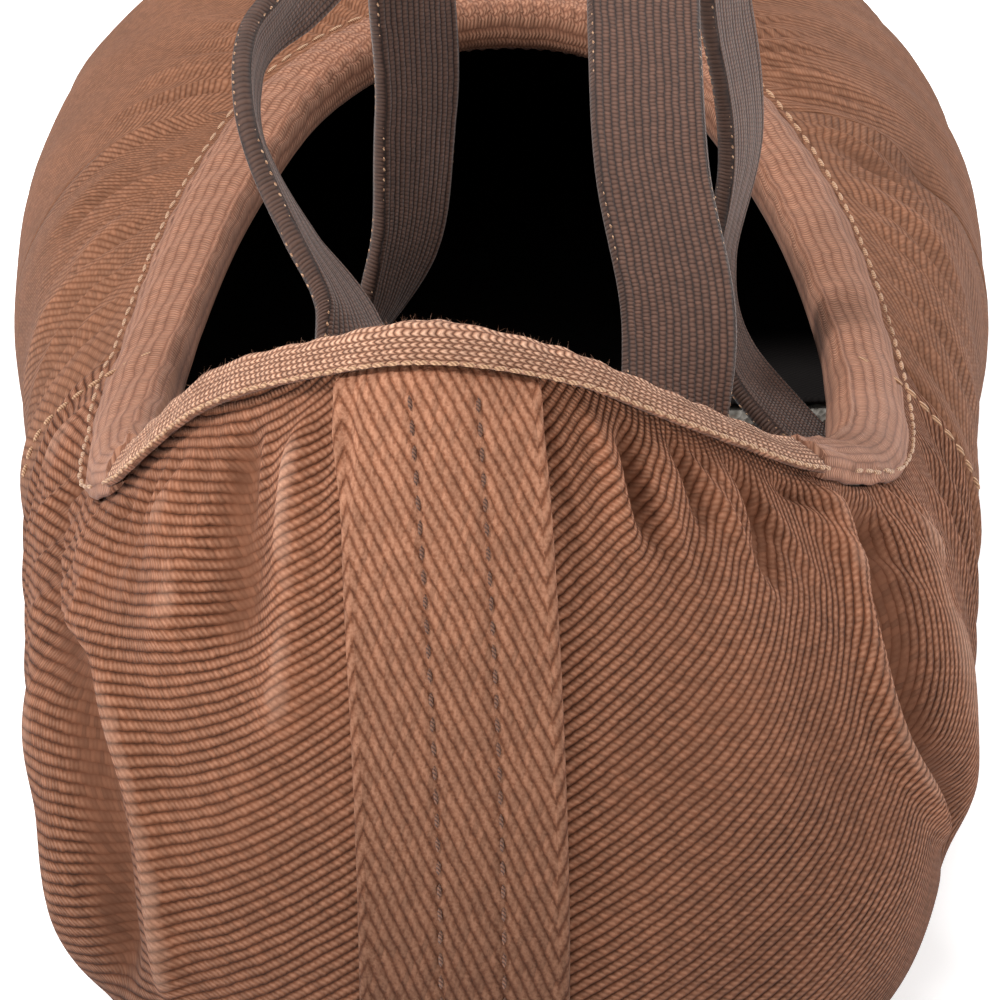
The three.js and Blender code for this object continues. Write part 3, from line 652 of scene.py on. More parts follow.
def twill_tape():
    """Cotton twill tape, woven and pressed: steep speckled diagonals, and a selvedge that leans the other way."""
    material, tree = fresh("cotton_twill_tape")
    x, y, _ = cloth_place(tree)
    edge = add(tree, MATH, add(tree, MATH, x, operation="ABSOLUTE"), TAPE_WIDTH / 2 - 0.75, operation="GREATER_THAN")
    # the selvedge's mirrored lean comes from mirroring its place
    side = add(tree, MATH, x, add(tree, MATH, edge, -2.0, 1.0, operation="MULTIPLY_ADD"), operation="MULTIPLY")
    height, chance = cords(tree, side, y, -67, RIB_PITCH, 0.5, 1.5, 0.09)     # 67 degrees, strands 0.5 mm long
    speckled = add(tree, MATH, cloud(tree, 0.22, 6.0), 1.5, height, operation="MULTIPLY_ADD")
    height = add(tree, MATH, speckled, 0.56, operation="MULTIPLY")
    colour = add(tree, RAMP, height, stops=[(0.2, "#5C3829"), (0.6, "#84563F"), (1.0, "#AD7F66")])
    colour = tint(tree, colour, chance, 0.86, 1.14)
    colour = tint(tree, colour, cloud(tree, 12, 2.0), 0.88, 1.12)
    # painted shade towards the sole and painted light at the top of the tape
    colour = add(tree, "ShaderNodeGamma", {"Color": painted_shade_down(tree, colour, 0.36, 1.3, 0.056), "Gamma": 1.1})
    finish(tree, colour, height, 0.17, 0.82, 0.02, 0.14)
    return material


def knit_trim(name, row, loop, deep, middle, bright, relief):
    """Cotton binding tape, knitted in chains along its length: rows of small slanted loops."""
    material, tree = fresh(name)
    x, y, _ = cloth_place(tree)
    q = add(tree, MATH, y, row, operation="DIVIDE")
    number = add(tree, MATH, q, operation="FLOOR")
    f = add(tree, MATH, q, number, operation="SUBTRACT")
    lean = add(tree, MATH, add(tree, MATH, f, 0.5, operation="PINGPONG"), 0.9, operation="MULTIPLY")
    shifted = add(tree, MATH, number, ROW_SHIFT, lean, operation="MULTIPLY_ADD")
    p = add(tree, MATH, add(tree, MATH, x, loop, operation="DIVIDE"), shifted, operation="ADD")
    t = add(tree, MATH, p, operation="FRACT")
    loops = add(tree, MATH, add(tree, MATH, t, math.pi, operation="MULTIPLY"), operation="SINE")
    arched = add(tree, MATH, add(tree, MATH, f, math.pi, operation="MULTIPLY"), operation="SINE")
    belly = add(tree, MATH, arched, 0.7, operation="POWER")
    fluff = add(tree, MATH, cloud(tree, 0.4, 4.0), 0.35, operation="MULTIPLY")
    round_loops = add(tree, MATH, loops, belly, operation="MULTIPLY")
    height = add(tree, MATH, round_loops, 0.75, fluff, operation="MULTIPLY_ADD")
    colour = add(tree, RAMP, height, stops=[(0.12, deep), (0.5, middle), (0.95, bright)])
    key = add(tree, "ShaderNodeCombineXYZ", {0: number, 1: add(tree, MATH, p, operation="FLOOR")})
    chance = add(tree, "ShaderNodeTexWhiteNoise", {"Vector": key}, noise_dimensions="3D", take="Value")
    colour = tint(tree, colour, chance, 0.88, 1.12)
    colour = tint(tree, colour, cloud(tree, 9, 2.0), 0.86, 1.14)
    finish(tree, colour, height, relief, 0.85, 0.08)
    return material


def ribbed_elastic(name, rib, deep, middle, bright, relief):
    """Woven elastic webbing of nylon over rubber: fine ribs along it, crossed by finer picks, with a faint shine."""
    material, tree = fresh(name)
    x, y, _ = cloth_place(tree)
    wave = add(tree, MATH, add(tree, MATH, y, math.pi / rib, operation="MULTIPLY"), operation="SINE")
    ribs = add(tree, MATH, add(tree, MATH, wave, operation="ABSOLUTE"), 0.6, operation="POWER")
    lane = add(tree, MATH, add(tree, MATH, y, rib, operation="DIVIDE"), operation="FLOOR")
    shifted = add(tree, MATH, lane, 0.5, add(tree, MATH, x, 0.3, operation="DIVIDE"), operation="MULTIPLY_ADD")
    pick = add(tree, MATH, add(tree, MATH, shifted, math.pi, operation="MULTIPLY"), operation="SINE")
    picks = add(tree, MATH, pick, operation="ABSOLUTE")
    height = add(tree, MATH, ribs, add(tree, MATH, picks, 0.5, 0.5, operation="MULTIPLY_ADD"), operation="MULTIPLY")
    height = add(tree, MATH, cloud(tree, 0.3, 4.0), 0.15, height, operation="MULTIPLY_ADD")
    colour = add(tree, RAMP, height, stops=[(0.1, deep), (0.5, middle), (1.0, bright)])
    key = add(tree, "ShaderNodeCombineXYZ", {0: lane, 1: add(tree, MATH, shifted, operation="FLOOR")})
    chance = add(tree, "ShaderNodeTexWhiteNoise", {"Vector": key}, noise_dimensions="3D", take="Value")
    colour = tint(tree, colour, chance, 0.85, 1.15)
    from_middle = add(tree, MATH, add(tree, MATH, y, STRAP_WIDTH, operation="SUBTRACT"), operation="ABSOLUTE")
    colour = tint(tree, colour, from_middle, 1.0, 0.55, 3.1, STRAP_WIDTH / 2)     # painted shade: the strap darker towards its turned edges
    colour = tint(tree, colour, cloud(tree, 11, 2.0), 0.88, 1.12)
    finish(tree, colour, height, relief, 0.7, 0.15, 0.35)
    return material


def plain_cloth(name, code, weave_mm, roughness, sheen, contrast=0.35, relief=0.05):
    """Fine plain-woven cotton, brushed: an even matt face in the given colour, which for the lining is a near-black
    painted shade.
    """
    material, tree = fresh(name)
    x, y, _ = cloth_place(tree)
    warp = add(tree, MATH, add(tree, MATH, x, math.pi / weave_mm, operation="MULTIPLY"), operation="SINE")
    weft = add(tree, MATH, add(tree, MATH, y, math.pi / weave_mm, operation="MULTIPLY"), operation="SINE")
    height = add(tree, MATH, add(tree, MATH, warp, weft, operation="MULTIPLY"), 0.5, 0.5, operation="MULTIPLY_ADD")
    height = add(tree, MATH, cloud(tree, 0.6, 4.0), 0.4, height, operation="MULTIPLY_ADD")
    colour = tint(tree, paint(code)[:3], height, 1 - contrast, 1 + contrast)
    finish(tree, colour, height, relief, roughness, sheen)
    return material


def split_suede():
    """Split cowhide suede, buffed: short uneven nap that shades in patches, darker where it is rubbed."""
    material, tree = fresh("split_suede")
    nap = cloud(tree, 0.5, 6.0)
    patches = cloud(tree, 14, 3.0)
    colour = add(tree, RAMP, nap, stops=[(0.25, "#4E3428"), (0.5, "#77533F"), (0.8, "#9A715A")])
    colour = tint(tree, colour, patches, 0.75, 1.2)
    finish(tree, colour, nap, 0.25, 0.95, 0.35)
    return material


def cell_foam():
    """Polyurethane foam, cut from sheet: open cells a few tenths of a millimetre across."""
    material, tree = fresh("open_cell_foam")
    place = add(tree, "ShaderNodeTexCoord", take="Object")
    cells = add(tree, "ShaderNodeTexVoronoi", {"Vector": place, "Scale": 1 / (0.7 * MM)}, take="Distance")
    colour = add(tree, RAMP, cells, stops=[(0.1, "#7D766D"), (0.5, "#B9B2A8"), (0.9, "#CFC9C0")])
    finish(tree, colour, cells, 0.2, 0.9, 0.05)
    return material


def spun_thread(name, code, dark):
    """Spun polyester sewing thread, two-ply: a paler line than the cloth, with a slight twist across it."""
    material, tree = fresh(name)
    place = add(tree, "ShaderNodeTexCoord", take="Object")
    x, y, z = add(tree, "ShaderNodeSeparateXYZ", {0: place}, take=None)
    along = add(tree, MATH, add(tree, MATH, x, y, operation="ADD"), z, operation="ADD")
    turns = add(tree, MATH, along, 2 * math.pi / (0.3 * MM), operation="MULTIPLY")       # a ply every 0.3 mm
    ply = add(tree, MATH, turns, operation="SINE")
    twist = add(tree, MATH, ply, 0.5, 0.5, operation="MULTIPLY_ADD")
    colour = add(tree, RAMP, twist, stops=[(0.0, dark), (0.9, code)])
    finish(tree, colour, twist, 0.05, 0.6, 0.2, 0.4)
    return material


# the last two numbers of each: painted shade near the sole and painted light at the top
CANVAS_CLOTH = stretch_canvas("brushed_stretch_canvas", "#482818", "#7B4B34", "#A9775D", 0.24, 0.53, 1.05)
VAMP_CLOTH = stretch_canvas("brushed_vamp_canvas", "#5E3C2B", "#7D513A", "#93674F", 0.08, 0.7, 1.04)
TAPE_CLOTH = twill_tape()
BINDING_CLOTH = knit_trim("knitted_cotton_binding", 0.5, 0.5, "#5A3624", "#AA785E", "#E2B497", 0.18)
CASING_CLOTH = knit_trim("knitted_cotton_casing", 0.7, 0.4, "#6E4533", "#94654E", "#AE7F66", 0.07)
STRAP_WEB = ribbed_elastic("woven_elastic_webbing", 0.5, "#1C110C", "#452C22", "#6B4C3E", 0.08)
CASED_WEB = ribbed_elastic("cased_elastic", 0.5, "#A08C7C", "#C9B6A6", "#DED0C2", 0.1)
# the lining and socks are near-black: painted shade for the deep shade inside the shoe
SHADE_DARK_LINING = plain_cloth("painted_shade_dark_lining", "#1A1615", 0.3, 0.95, 0.0)
LABEL_CLOTH = plain_cloth("white_satin_tab", "#D9D5CF", 0.18, 0.6, 0.1, 0.08, 0.03)
SUEDE = split_suede()
FOAM = cell_foam()
PALE_THREAD = spun_thread("pale_sewing_thread", "#D3A883", "#94694C")
BROWN_THREAD = spun_thread("brown_sewing_thread", "#7D523B", "#4A2C1E")
FIBRE = spun_thread("loose_cotton_fibre", "#A67C62", "#86604A")


# ---- the cloth pieces ----
HOLLOW = CANVAS + GAP + LINING + GAP
LINE = (CANVAS + GAP, CANVAS + GAP + LINING)

left_quarter = patch("left_quarter_cloth", -REAR_SEAM, 0, 190, 0, CANVAS, CANVAS_CLOTH, rows=150)
right_quarter = patch("right_quarter_cloth", 0, REAR_SEAM, 190, 0, CANVAS, CANVAS_CLOTH, rows=150)
vamp = patch("vamp_cloth", FRONT_SEAM, 360 - FRONT_SEAM, 220, 0, CANVAS, VAMP_CLOTH)
arch = arch_patch("arch_cloth", 0, CANVAS, VAMP_CLOTH)
heel_lining = patch("heel_lining_cloth", -REAR_SEAM, REAR_SEAM, 150, *LINE, SHADE_DARK_LINING, bottom=2.6, rows=60)
vamp_lining = patch("vamp_lining_cloth", FRONT_SEAM, 360 - FRONT_SEAM, 120, *LINE, SHADE_DARK_LINING, bottom=2.6, rows=60)
arch_lining = arch_patch("arch_lining_cloth", *LINE, SHADE_DARK_LINING, 24, 40)


TAPE_SEAMS = (-1.3, 2.5)
BINDING_SHOWN, CASING_SHOWN = 1.8, 5.1       # the trims' edges are rolled under, a little short of the CAD strips'


def tape_angles(across, s):
    """The angle at each distance across the tape, row by row down it."""
    near = np.linspace(-18, 18, 73)
    rows = on_last(near, np.broadcast_to(s, (len(near), len(s))))
    out = np.empty((len(across), len(s)))
    for j in range(len(s)):
        reach = np.concatenate([[0], np.cumsum(np.linalg.norm(np.diff(rows[:, j], axis=0), axis=1))])
        out[:, j] = np.interp(across, reach - np.interp(0, near, reach), near)
    return out


def skin_each(angle, s):
    """Points and normals where every point has its own angle."""
    angle, s = np.broadcast_arrays(np.asarray(angle, float), np.asarray(s, float))
    surface, normal = skin(angle.ravel(), s.reshape(-1, 1))
    return surface.reshape(angle.shape + (3,)), normal.reshape(angle.shape + (3,))


def back_tape():
    """The woven tape down the heel seam, a little proud and thick at its selvedges."""
    across = np.linspace(-1, 1, 81)
    length = profiles(np.array([0.0]))[1][0, -1]
    s = np.linspace(1.1, length - 9, 150)
    angle = tape_angles(across * TAPE_WIDTH / 2, s)
    surface, normal = skin_each(angle, s[None])
    surface = surface + normal * folds(angle, np.broadcast_to(s[None], angle.shape))[..., None]
    place = np.stack(np.broadcast_arrays(across[:, None] * TAPE_WIDTH / 2, length - s[None]), -1)
    seams = sum(np.exp(-((across * TAPE_WIDTH / 2 - x) / 0.3) ** 2) for x in TAPE_SEAMS)
    selvedge = 0.14 * np.exp(-((abs(across) - 0.92) / 0.06) ** 2) - 0.5 * smooth(0.965, 1, abs(across))
    proud = GAP + TRIM + selvedge - 0.16 * seams
    under = smooth(1.4, 2.7, s)[None] * np.ones((len(across), 1))       # its top goes in under the binding
    outer = mix(0.22, proud[:, None], under)
    return shell("heel_tape_cloth", surface + normal * outer[..., None], surface + normal * 0.12, place, TAPE_CLOTH)


heel_tape = back_tape()


def binding_ribs(place, run):
    return 0.07 * np.sin(place * 2 * math.pi / 1.24) ** 2 + 0.05 * np.sin(run * 1.3 + 0.6 * np.sin(run * 0.37))


def casing_ribs(place, run):
    ribbed = 0.05 + 0.2 * smooth(1.2, 3.2, place)
    return ribbed * np.abs(np.sin(place * math.pi / 1.2)) ** 0.8 + 0.09 * np.sin(run * 0.8 + place)


def casing_height(angle):
    return mix(BINDING_SHOWN + 1.6, CASING_SHOWN, smooth(0, 10, abs(wrap(angle)) - JUNCTION))


def binding_height(angle):
    return mix(BINDING_SHOWN, BINDING_SHOWN + 1.4, smooth(12, 38, abs(wrap(angle))))


binding_angles = np.linspace(0.2 - JUNCTION, JUNCTION - 0.2, 220)
heel_binding = rim_strip("heel_binding_cloth", binding_angles, binding_height(binding_angles),
                         BINDING_CLOTH, 0.1, binding_ribs)
casing_angles = np.linspace(JUNCTION + 0.1, 360 - JUNCTION - 0.1, 460)
throat_casing = rim_strip("throat_casing_cloth", casing_angles, casing_height(casing_angles),
                          CASING_CLOTH, 0.4, casing_ribs, 0.6)


def cased_elastic():
    angle = np.linspace(JUNCTION + 5.5, 360 - JUNCTION - 5.5, 150)
    high, low = TRIM + GAP, TRIM + GAP + ELASTIC_HEIGHT
    down = np.linspace(0, 1, 8)
    outline = np.array([(mix(high, low, t), 0.0) for t in down] + [(mix(low, high, t), 1.7) for t in down])
    s = np.broadcast_to(outline[None, :, 0], (len(angle), len(outline)))
    surface, normal = skin(angle, s)
    lift = folds(angle[:, None], s)
    points = surface + normal * (lift - outline[None, :, 1])[..., None]
    run = np.concatenate([[0], np.cumsum(np.linalg.norm(np.diff(surface[:, 0], axis=0), axis=1))])
    return tube("throat_elastic_web", points, np.stack(np.broadcast_arrays(run[:, None], s), -1), CASED_WEB)


throat_elastic = cased_elastic()


# ---- elastic straps ----
STRAP_RIBS = 11          # across the strap


def through(points, count):
    """Points along the centripetal curve through the given ones, evenly in its own parameter."""
    points = np.array(points, float)
    out = []
    for i in range(count):
        at = (len(points) - 1) * i / (count - 1)
        k = min(int(at), len(points) - 2)
        t = at - k
        b, c = points[k], points[k + 1]
        a = points[k - 1] if k else 2 * points[0] - points[1]
        d = points[k + 2] if k + 2 < len(points) else 2 * points[-1] - points[-2]
        ab, bc, cd = (max(np.dot(q - p, q - p), 1e-12) ** 0.25 for p, q in ((a, b), (b, c), (c, d)))
        start = ((b - a) / ab - (c - a) / (ab + bc) + (c - b) / bc) * bc
        end = ((c - b) / bc - (d - b) / (bc + cd) + (d - c) / cd) * bc
        out.append(b + start * t + (-3 * b + 3 * c - 2 * start - end) * t**2 + (2 * b - 2 * c + start + end) * t**3)
    return np.array(out)


def webbing(name, rows):
    """Flat elastic with fine ribs and rounded edges; each row is a centre and the direction of the width."""
    count = 260
    centre = through([p for p, _ in rows], count)
    width = through([w for _, w in rows], count)
    along = np.gradient(centre, axis=0)
    along /= np.linalg.norm(along, axis=1, keepdims=True)
    width -= along * (width * along).sum(1, keepdims=True)
    width /= np.linalg.norm(width, axis=1, keepdims=True)
    face = np.cross(along, width)
    half, thick = STRAP_WIDTH / 2, STRAP / 2
    outline = []
    for side in (1, -1):
        for x in np.linspace(-1, 1, 34) * side:
            rib = 0.07 * abs(math.sin(x * math.pi * STRAP_RIBS / 2)) ** 0.7
            edge = math.sqrt(max(0.0, 1 - (max(0.0, abs(x) - 0.9) / 0.1) ** 2))
            bead = 0.10 * math.exp(-((abs(x) - 0.9) / 0.06) ** 2)
            outline.append((x * half, side * (thick * (0.25 + 0.62 * edge) + (rib + bead) * edge)))
    outline = np.array(outline)
    run = np.concatenate([[0], np.cumsum(np.linalg.norm(np.diff(centre, axis=0), axis=1))])
    cup = 0.10 * np.sin(run * 0.5)[:, None] * (outline[None, :, 0] / half) ** 2
    raised = face[:, None] * (outline[None, :, 1] + cup)[..., None]
    points = centre[:, None] + width[:, None] * outline[None, :, :1] + raised
    place = np.stack(np.broadcast_arrays(run[:, None], outline[None, :, 0] + STRAP_WIDTH), -1)
    edges = [centre + width * (half * side) for side in (-0.93, 0.93)]
    return tube(name, points, place, STRAP_WEB), edges, face


def sewn_end(angle, s, depth):
    """A strap's row where it is sewn flat inside the shoe, its width level with the rim."""
    surface, normal = skin(np.array([float(angle)]), np.array([[float(s)]]))
    low, high = (on_last(np.array([angle + turn]), np.array([[float(s)]]))[0, 0] for turn in (-1.0, 1.0))
    return surface[0, 0] - normal[0, 0] * depth, (high - low) / np.linalg.norm(high - low)


def free(x, y, z, wide):
    """A strap's row in the air: its centre, at the first size, and the direction of its width."""
    high = mix(RIM_HEIGHT, STRAP_TOP, (z - 52) / 40) if z > 52 else z * RIM_HEIGHT / 52
    return np.array([x * HEEL_WIDTH / 61, y * LENGTH / 224, high]), np.array(wide, float)


STRAP_DEPTH = HOLLOW + TRIM + GAP + STRAP / 2 + 1.6

over_rows = [
    sewn_end(-12, 15, STRAP_DEPTH + 0.4), sewn_end(-12, 7, STRAP_DEPTH + 0.9),
    free(-9.5, -91, 48.6, (0.35, 0.88, -0.3)), free(-12.7, -88, 53, (0.12, 0.93, -0.33)),
    free(-16, -84, 59.2, (0, 0.93, -0.36)), free(-15.9, -79.5, 62.6, (0.12, 0.93, -0.3)),
    free(-13.3, -75.5, 65.5, (0.42, 0.88, -0.1)), free(-9.6, -70.5, 70, (0.7, 0.7, 0)),
    free(-4, -64, 77.5, (0.72, 0.42, -0.36)), free(2, -56.5, 85, (0.7, -0.09, -0.71)),
    free(8, -50, 87.5, (0.16, -0.63, -0.76)), free(13.4, -46.5, 81, (-0.55, -0.83, -0.1)),
    free(15.6, -46, 69, (-0.4, -0.92, 0)), free(16, -46, 57, (-0.4, -0.92, 0)),
    free(17.4, -45.5, 46.5, (-0.35, -0.94, 0)), free(15.8, -46.5, 37, (-0.25, -0.97, 0)),
    free(17.4, -48.2, 30.4, (-0.15, -0.98, -0.1))]
# the strap has a half twist over its crest, so its width comes in the other way round at the far end
over_rows += [(place, -wide) for place, wide in (sewn_end(61, CASING_HEIGHT + 1.9, STRAP_DEPTH + 0.6),
                                                 sewn_end(62, CASING_HEIGHT + 5.9, STRAP_DEPTH))]
strap_over, over_edges, over_face = webbing("strap_over_web", over_rows)
strap_under, under_edges, under_face = webbing("strap_under_web", [
    sewn_end(30, 15, STRAP_DEPTH), sewn_end(29, 6.5, STRAP_DEPTH + 0.2),
    free(11.3, -89.4, 48.6, (0.96, 0.25, 0)), free(9.7, -83.5, 56.5, (0.96, 0.25, 0)),
    free(9.4, -76, 63, (0.95, 0.3, 0)), free(9, -67, 69, (0.92, 0.38, 0)),
    free(5.6, -57.5, 75, (0.85, 0.5, 0)), free(0, -50, 77.5, (0.8, 0.6, 0)),
    free(-5, -46.4, 72, (0.76, 0.64, 0)), free(-6.2, -46, 61, (0.76, 0.64, 0)), free(-6, -46, 49, (0.72, 0.69, 0)),
    free(-7.2, -46.5, 38, (0.6, 0.8, 0)), free(-12, -47.5, 29.5, (0.2, 0.98, 0)),
    sewn_end(-61, CASING_HEIGHT + 1.9, STRAP_DEPTH + 0.6), sewn_end(-62, CASING_HEIGHT + 5.9, STRAP_DEPTH)])


# ---- sole pads, foam and inner socks ----
def sole_line(first, last, count, height=None, margin=GAP, cut=0.0):
    """Outline of a flat piece: along the turned-under cloth, or inside the hollow at a height, then straight back."""
    angle = np.linspace(first, last, count)
    points, _ = profiles(angle)
    if height is None:
        edge = points[:, -1]
        inward = points[:, -1, :2] - points[:, -2, :2]
    else:
        column = points[:, UPPER:UPPER + UNDER + 1]
        edge = np.array([[np.interp(-height, -down[:, 2], down[:, k]) for k in range(3)] for down in column])
        ahead = widest_line(angle + 0.4) - widest_line(angle - 0.4)
        inward = np.stack([-ahead[:, 1], ahead[:, 0]], -1)
    inward = inward / np.linalg.norm(inward, axis=1, keepdims=True)
    line = edge[:, :2] + inward * margin
    t = np.linspace(0, 1, 14)[1:-1, None]
    close = mix(line[-1:], line[:1], t)
    close[:, 1] += cut * np.sin(np.pi * t[:, 0])
    return np.concatenate([line, close])


def middle_line(line):
    """The points on the piece's long middle, 22 mm short of its ends, that its outline shrinks to."""
    return np.stack([np.zeros(len(line)), np.clip(line[:, 1], line[:, 1].min() + 22, line[:, 1].max() - 22)], -1)


def cushion(name, line, low, high, material, crown=0.0, rings=12):
    """A flat piece with rounded edges and a slightly crowned face, from rings that close on its middle line."""
    middle = middle_line(line)
    rows = []
    thick = high - low

    def level(share, z):
        flat = mix(line, middle, share)
        rows.append(np.concatenate([flat, np.full((len(line), 1), z)], 1))

    for i in range(rings, 0, -1):
        level(i / rings, low)
    for i in range(7):
        a = math.pi * i / 6
        level(0.018 * (1 - math.sin(a)), low + thick * (0.5 - 0.5 * math.cos(a)))
    for i in range(1, rings + 1):
        level(i / rings, high + crown * math.sin(math.pi / 2 * i / rings))
    rows = np.array(rows)
    n, k = rows.shape[:2]
    i, j = np.meshgrid(np.arange(n - 1), np.arange(k), indexing="ij")
    a, b = (i * k + j).ravel(), (i * k + (j + 1) % k).ravel()
    thing = make(name, rows, np.stack([a, b, b + k, a + k], 1), material, rows.reshape(-1, 3)[:, :2])
    edit = bmesh.new()
    edit.from_mesh(thing.data)
    bmesh.ops.remove_doubles(edit, verts=edit.verts, dist=0.00002)
    edit.to_mesh(thing.data)
    edit.free()
    return thing


heel_line = sole_line(0.3 - REAR_SEAM, REAR_SEAM - 0.3, 90, cut=4)
front_line = sole_line(FRONT_SEAM + 0.3, 360 - FRONT_SEAM - 0.3, 110)
heel_outsole = cushion("heel_suede_pad", heel_line, 0, 1.4, SUEDE)
front_outsole = cushion("front_suede_pad", front_line, 0, 1.4, SUEDE)
PAD_LOW = 0.7 + HOLLOW + 0.2
heel_inner = sole_line(2 - REAR_SEAM, REAR_SEAM - 2, 60, PAD_LOW, HOLLOW + 1.1, 3)
front_inner = sole_line(FRONT_SEAM + 2, 358 - FRONT_SEAM, 76, PAD_LOW, HOLLOW + 1.1, -2)
heel_pad = cushion("heel_foam_pad", heel_inner, PAD_LOW + 0.06, PAD_LOW + 1.9, FOAM, 0.05)
front_pad = cushion("front_foam_pad", front_inner, PAD_LOW + 0.06, PAD_LOW + 1.9, FOAM, 0.05)
heel_sock = cushion("heel_sock_cloth", heel_inner, PAD_LOW + 2.3, PAD_LOW + 2.9, SHADE_DARK_LINING, 0.1)
front_sock = cushion("front_sock_cloth", front_inner, PAD_LOW + 2.3, PAD_LOW + 2.9, SHADE_DARK_LINING, 0.1)


def swell(pad, most=0.12):
    """Foam pressed out by a short cloth simulation, held to a small move because its neighbours are close."""
    still = np.empty(len(pad.data.vertices) * 3)
    pad.data.vertices.foreach_get("co", still)
    cloth = pad.modifiers.new("swell", "CLOTH")
    cloth.settings.use_pressure = True
    cloth.settings.uniform_pressure_force = 4
    cloth.settings.effector_weights.gravity = 0
    cloth.settings.quality = 5
    cloth.point_cache.frame_end = 20
    scene = bpy.context.scene
    for step in range(1, cloth.point_cache.frame_end + 1):
        scene.frame_set(step)
    moved = np.empty(len(still))
    shaped = pad.evaluated_get(bpy.context.evaluated_depsgraph_get())
    shaped.data.vertices.foreach_get("co", moved)
    pad.modifiers.clear()
    scene.frame_set(1)
    move = (moved - still).reshape(-1, 3)
    far = np.linalg.norm(move, axis=1, keepdims=True) + 1e-12
    pad.data.vertices.foreach_set("co", (still.reshape(-1, 3) + move * np.minimum(1, most * MM / far)).ravel())
    pad.data.update()


swell(heel_pad)
swell(front_pad)


def side_tab():
    """The white label inside the shoe, at the side of the throat."""
    angle = np.linspace(50, 56, 14)
    s = np.broadcast_to(np.linspace(CASING_HEIGHT + 1.4, CASING_HEIGHT + 6.4, 12), (14, 12))
    surface, normal = skin(angle, s)
    lift = folds(angle[:, None], s)
    place = np.stack(np.broadcast_arrays(run_at(angle)[:, None], s), -1)
    return shell("side_label_tab", surface + normal * (lift - HOLLOW)[..., None],
                 surface + normal * (lift - HOLLOW - 0.4)[..., None], place, LABEL_CLOTH)


side_label = side_tab()


# ---- what repeats: stitches along a line, and stray fibres ----
def new_tree(name, taken, given, sizes):
    """An empty tree that takes one geometry, some sizes in metres and a finish. Returns it and its inputs."""
    tree = bpy.data.node_groups.new(name, "GeometryNodeTree")
    face = tree.interface
    face.new_socket(taken, in_out="INPUT", socket_type="NodeSocketGeometry")
    for size, value in sizes.items():
        face.new_socket(size, in_out="INPUT", socket_type="NodeSocketFloat").default_value = value
    face.new_socket("Finish", in_out="INPUT", socket_type="NodeSocketMaterial")
    face.new_socket(given, in_out="OUTPUT", socket_type="NodeSocketGeometry")
    return tree, add(tree, "NodeGroupInput", take=None)


def close_tree(tree, many, finish):
    real = add(tree, "GeometryNodeRealizeInstances", {"Geometry": many})
    add(tree, "NodeGroupOutput", add(tree, "GeometryNodeSetMaterial", {"Geometry": real, "Material": finish}))


def grown(name, mesh, tree, settings):
    """The plain mesh that a tree makes of a mesh, as an object."""
    carrier = bpy.data.objects.new(name + "_carrier", mesh)
    bpy.context.scene.collection.objects.link(carrier)
    modifier = carrier.modifiers.new("grown", "NODES")
    modifier.node_group = tree
    for item in tree.interface.items_tree:
        if item.name in settings:
            modifier[item.identifier] = settings[item.name]
    bpy.context.view_layer.update()
    done = bpy.data.meshes.new_from_object(carrier.evaluated_get(bpy.context.evaluated_depsgraph_get()))
    bpy.data.objects.remove(carrier)
    thing = bpy.data.objects.new(name, done)
    bpy.context.scene.collection.objects.link(thing)
    return thing


def stitch_tree():
    tree, start = new_tree("stitches_on_a_line", "Line", "Stitches",
                           {"Pitch": 0.0018, "Stitch": 0.0012, "Thread": 0.00035, "Lean": 0.0})
    line = add(tree, "GeometryNodeMeshToCurve", {"Mesh": start["Line"]})
    line = add(tree, "GeometryNodeResampleCurve", {"Curve": line, "Length": start["Pitch"]}, mode="LENGTH")
    out = add(tree, "GeometryNodeInputNamedAttribute", {"Name": "out"}, data_type="FLOAT_VECTOR")
    tangent = add(tree, "GeometryNodeInputTangent")
    turn = add(tree, "FunctionNodeAlignRotationToVector", {"Vector": tangent}, axis="X")
    turn = add(tree, "FunctionNodeAlignRotationToVector", {"Rotation": turn, "Vector": out}, axis="Z", pivot_axis="X")
    # no two stitches lie quite alike
    chance = add(tree, "FunctionNodeRandomValue", {2: -0.09, 3: 0.09, "Seed": 7}, data_type="FLOAT", take=1)
    lean = add(tree, MATH, start["Lean"], chance, operation="ADD")
    spin = add(tree, "FunctionNodeAxisAngleToRotation", {"Axis": (0, 0, 1), "Angle": lean})
    turn = add(tree, "FunctionNodeRotateRotation", {"Rotation": turn, "Rotate By": spin}, rotation_space="LOCAL")
    bar = add(tree, "GeometryNodeMeshUVSphere", {"Segments": 6, "Rings": 5, "Radius": 0.5})
    sizes = add(tree, "ShaderNodeCombineXYZ", start["Stitch"], start["Thread"], start["Thread"])
    bar = add(tree, "GeometryNodeTransform", {"Geometry": bar, "Scale": sizes})
    many = add(tree, "GeometryNodeInstanceOnPoints", {"Points": line, "Instance": bar, "Rotation": turn})
    close_tree(tree, many, start["Finish"])
    return tree


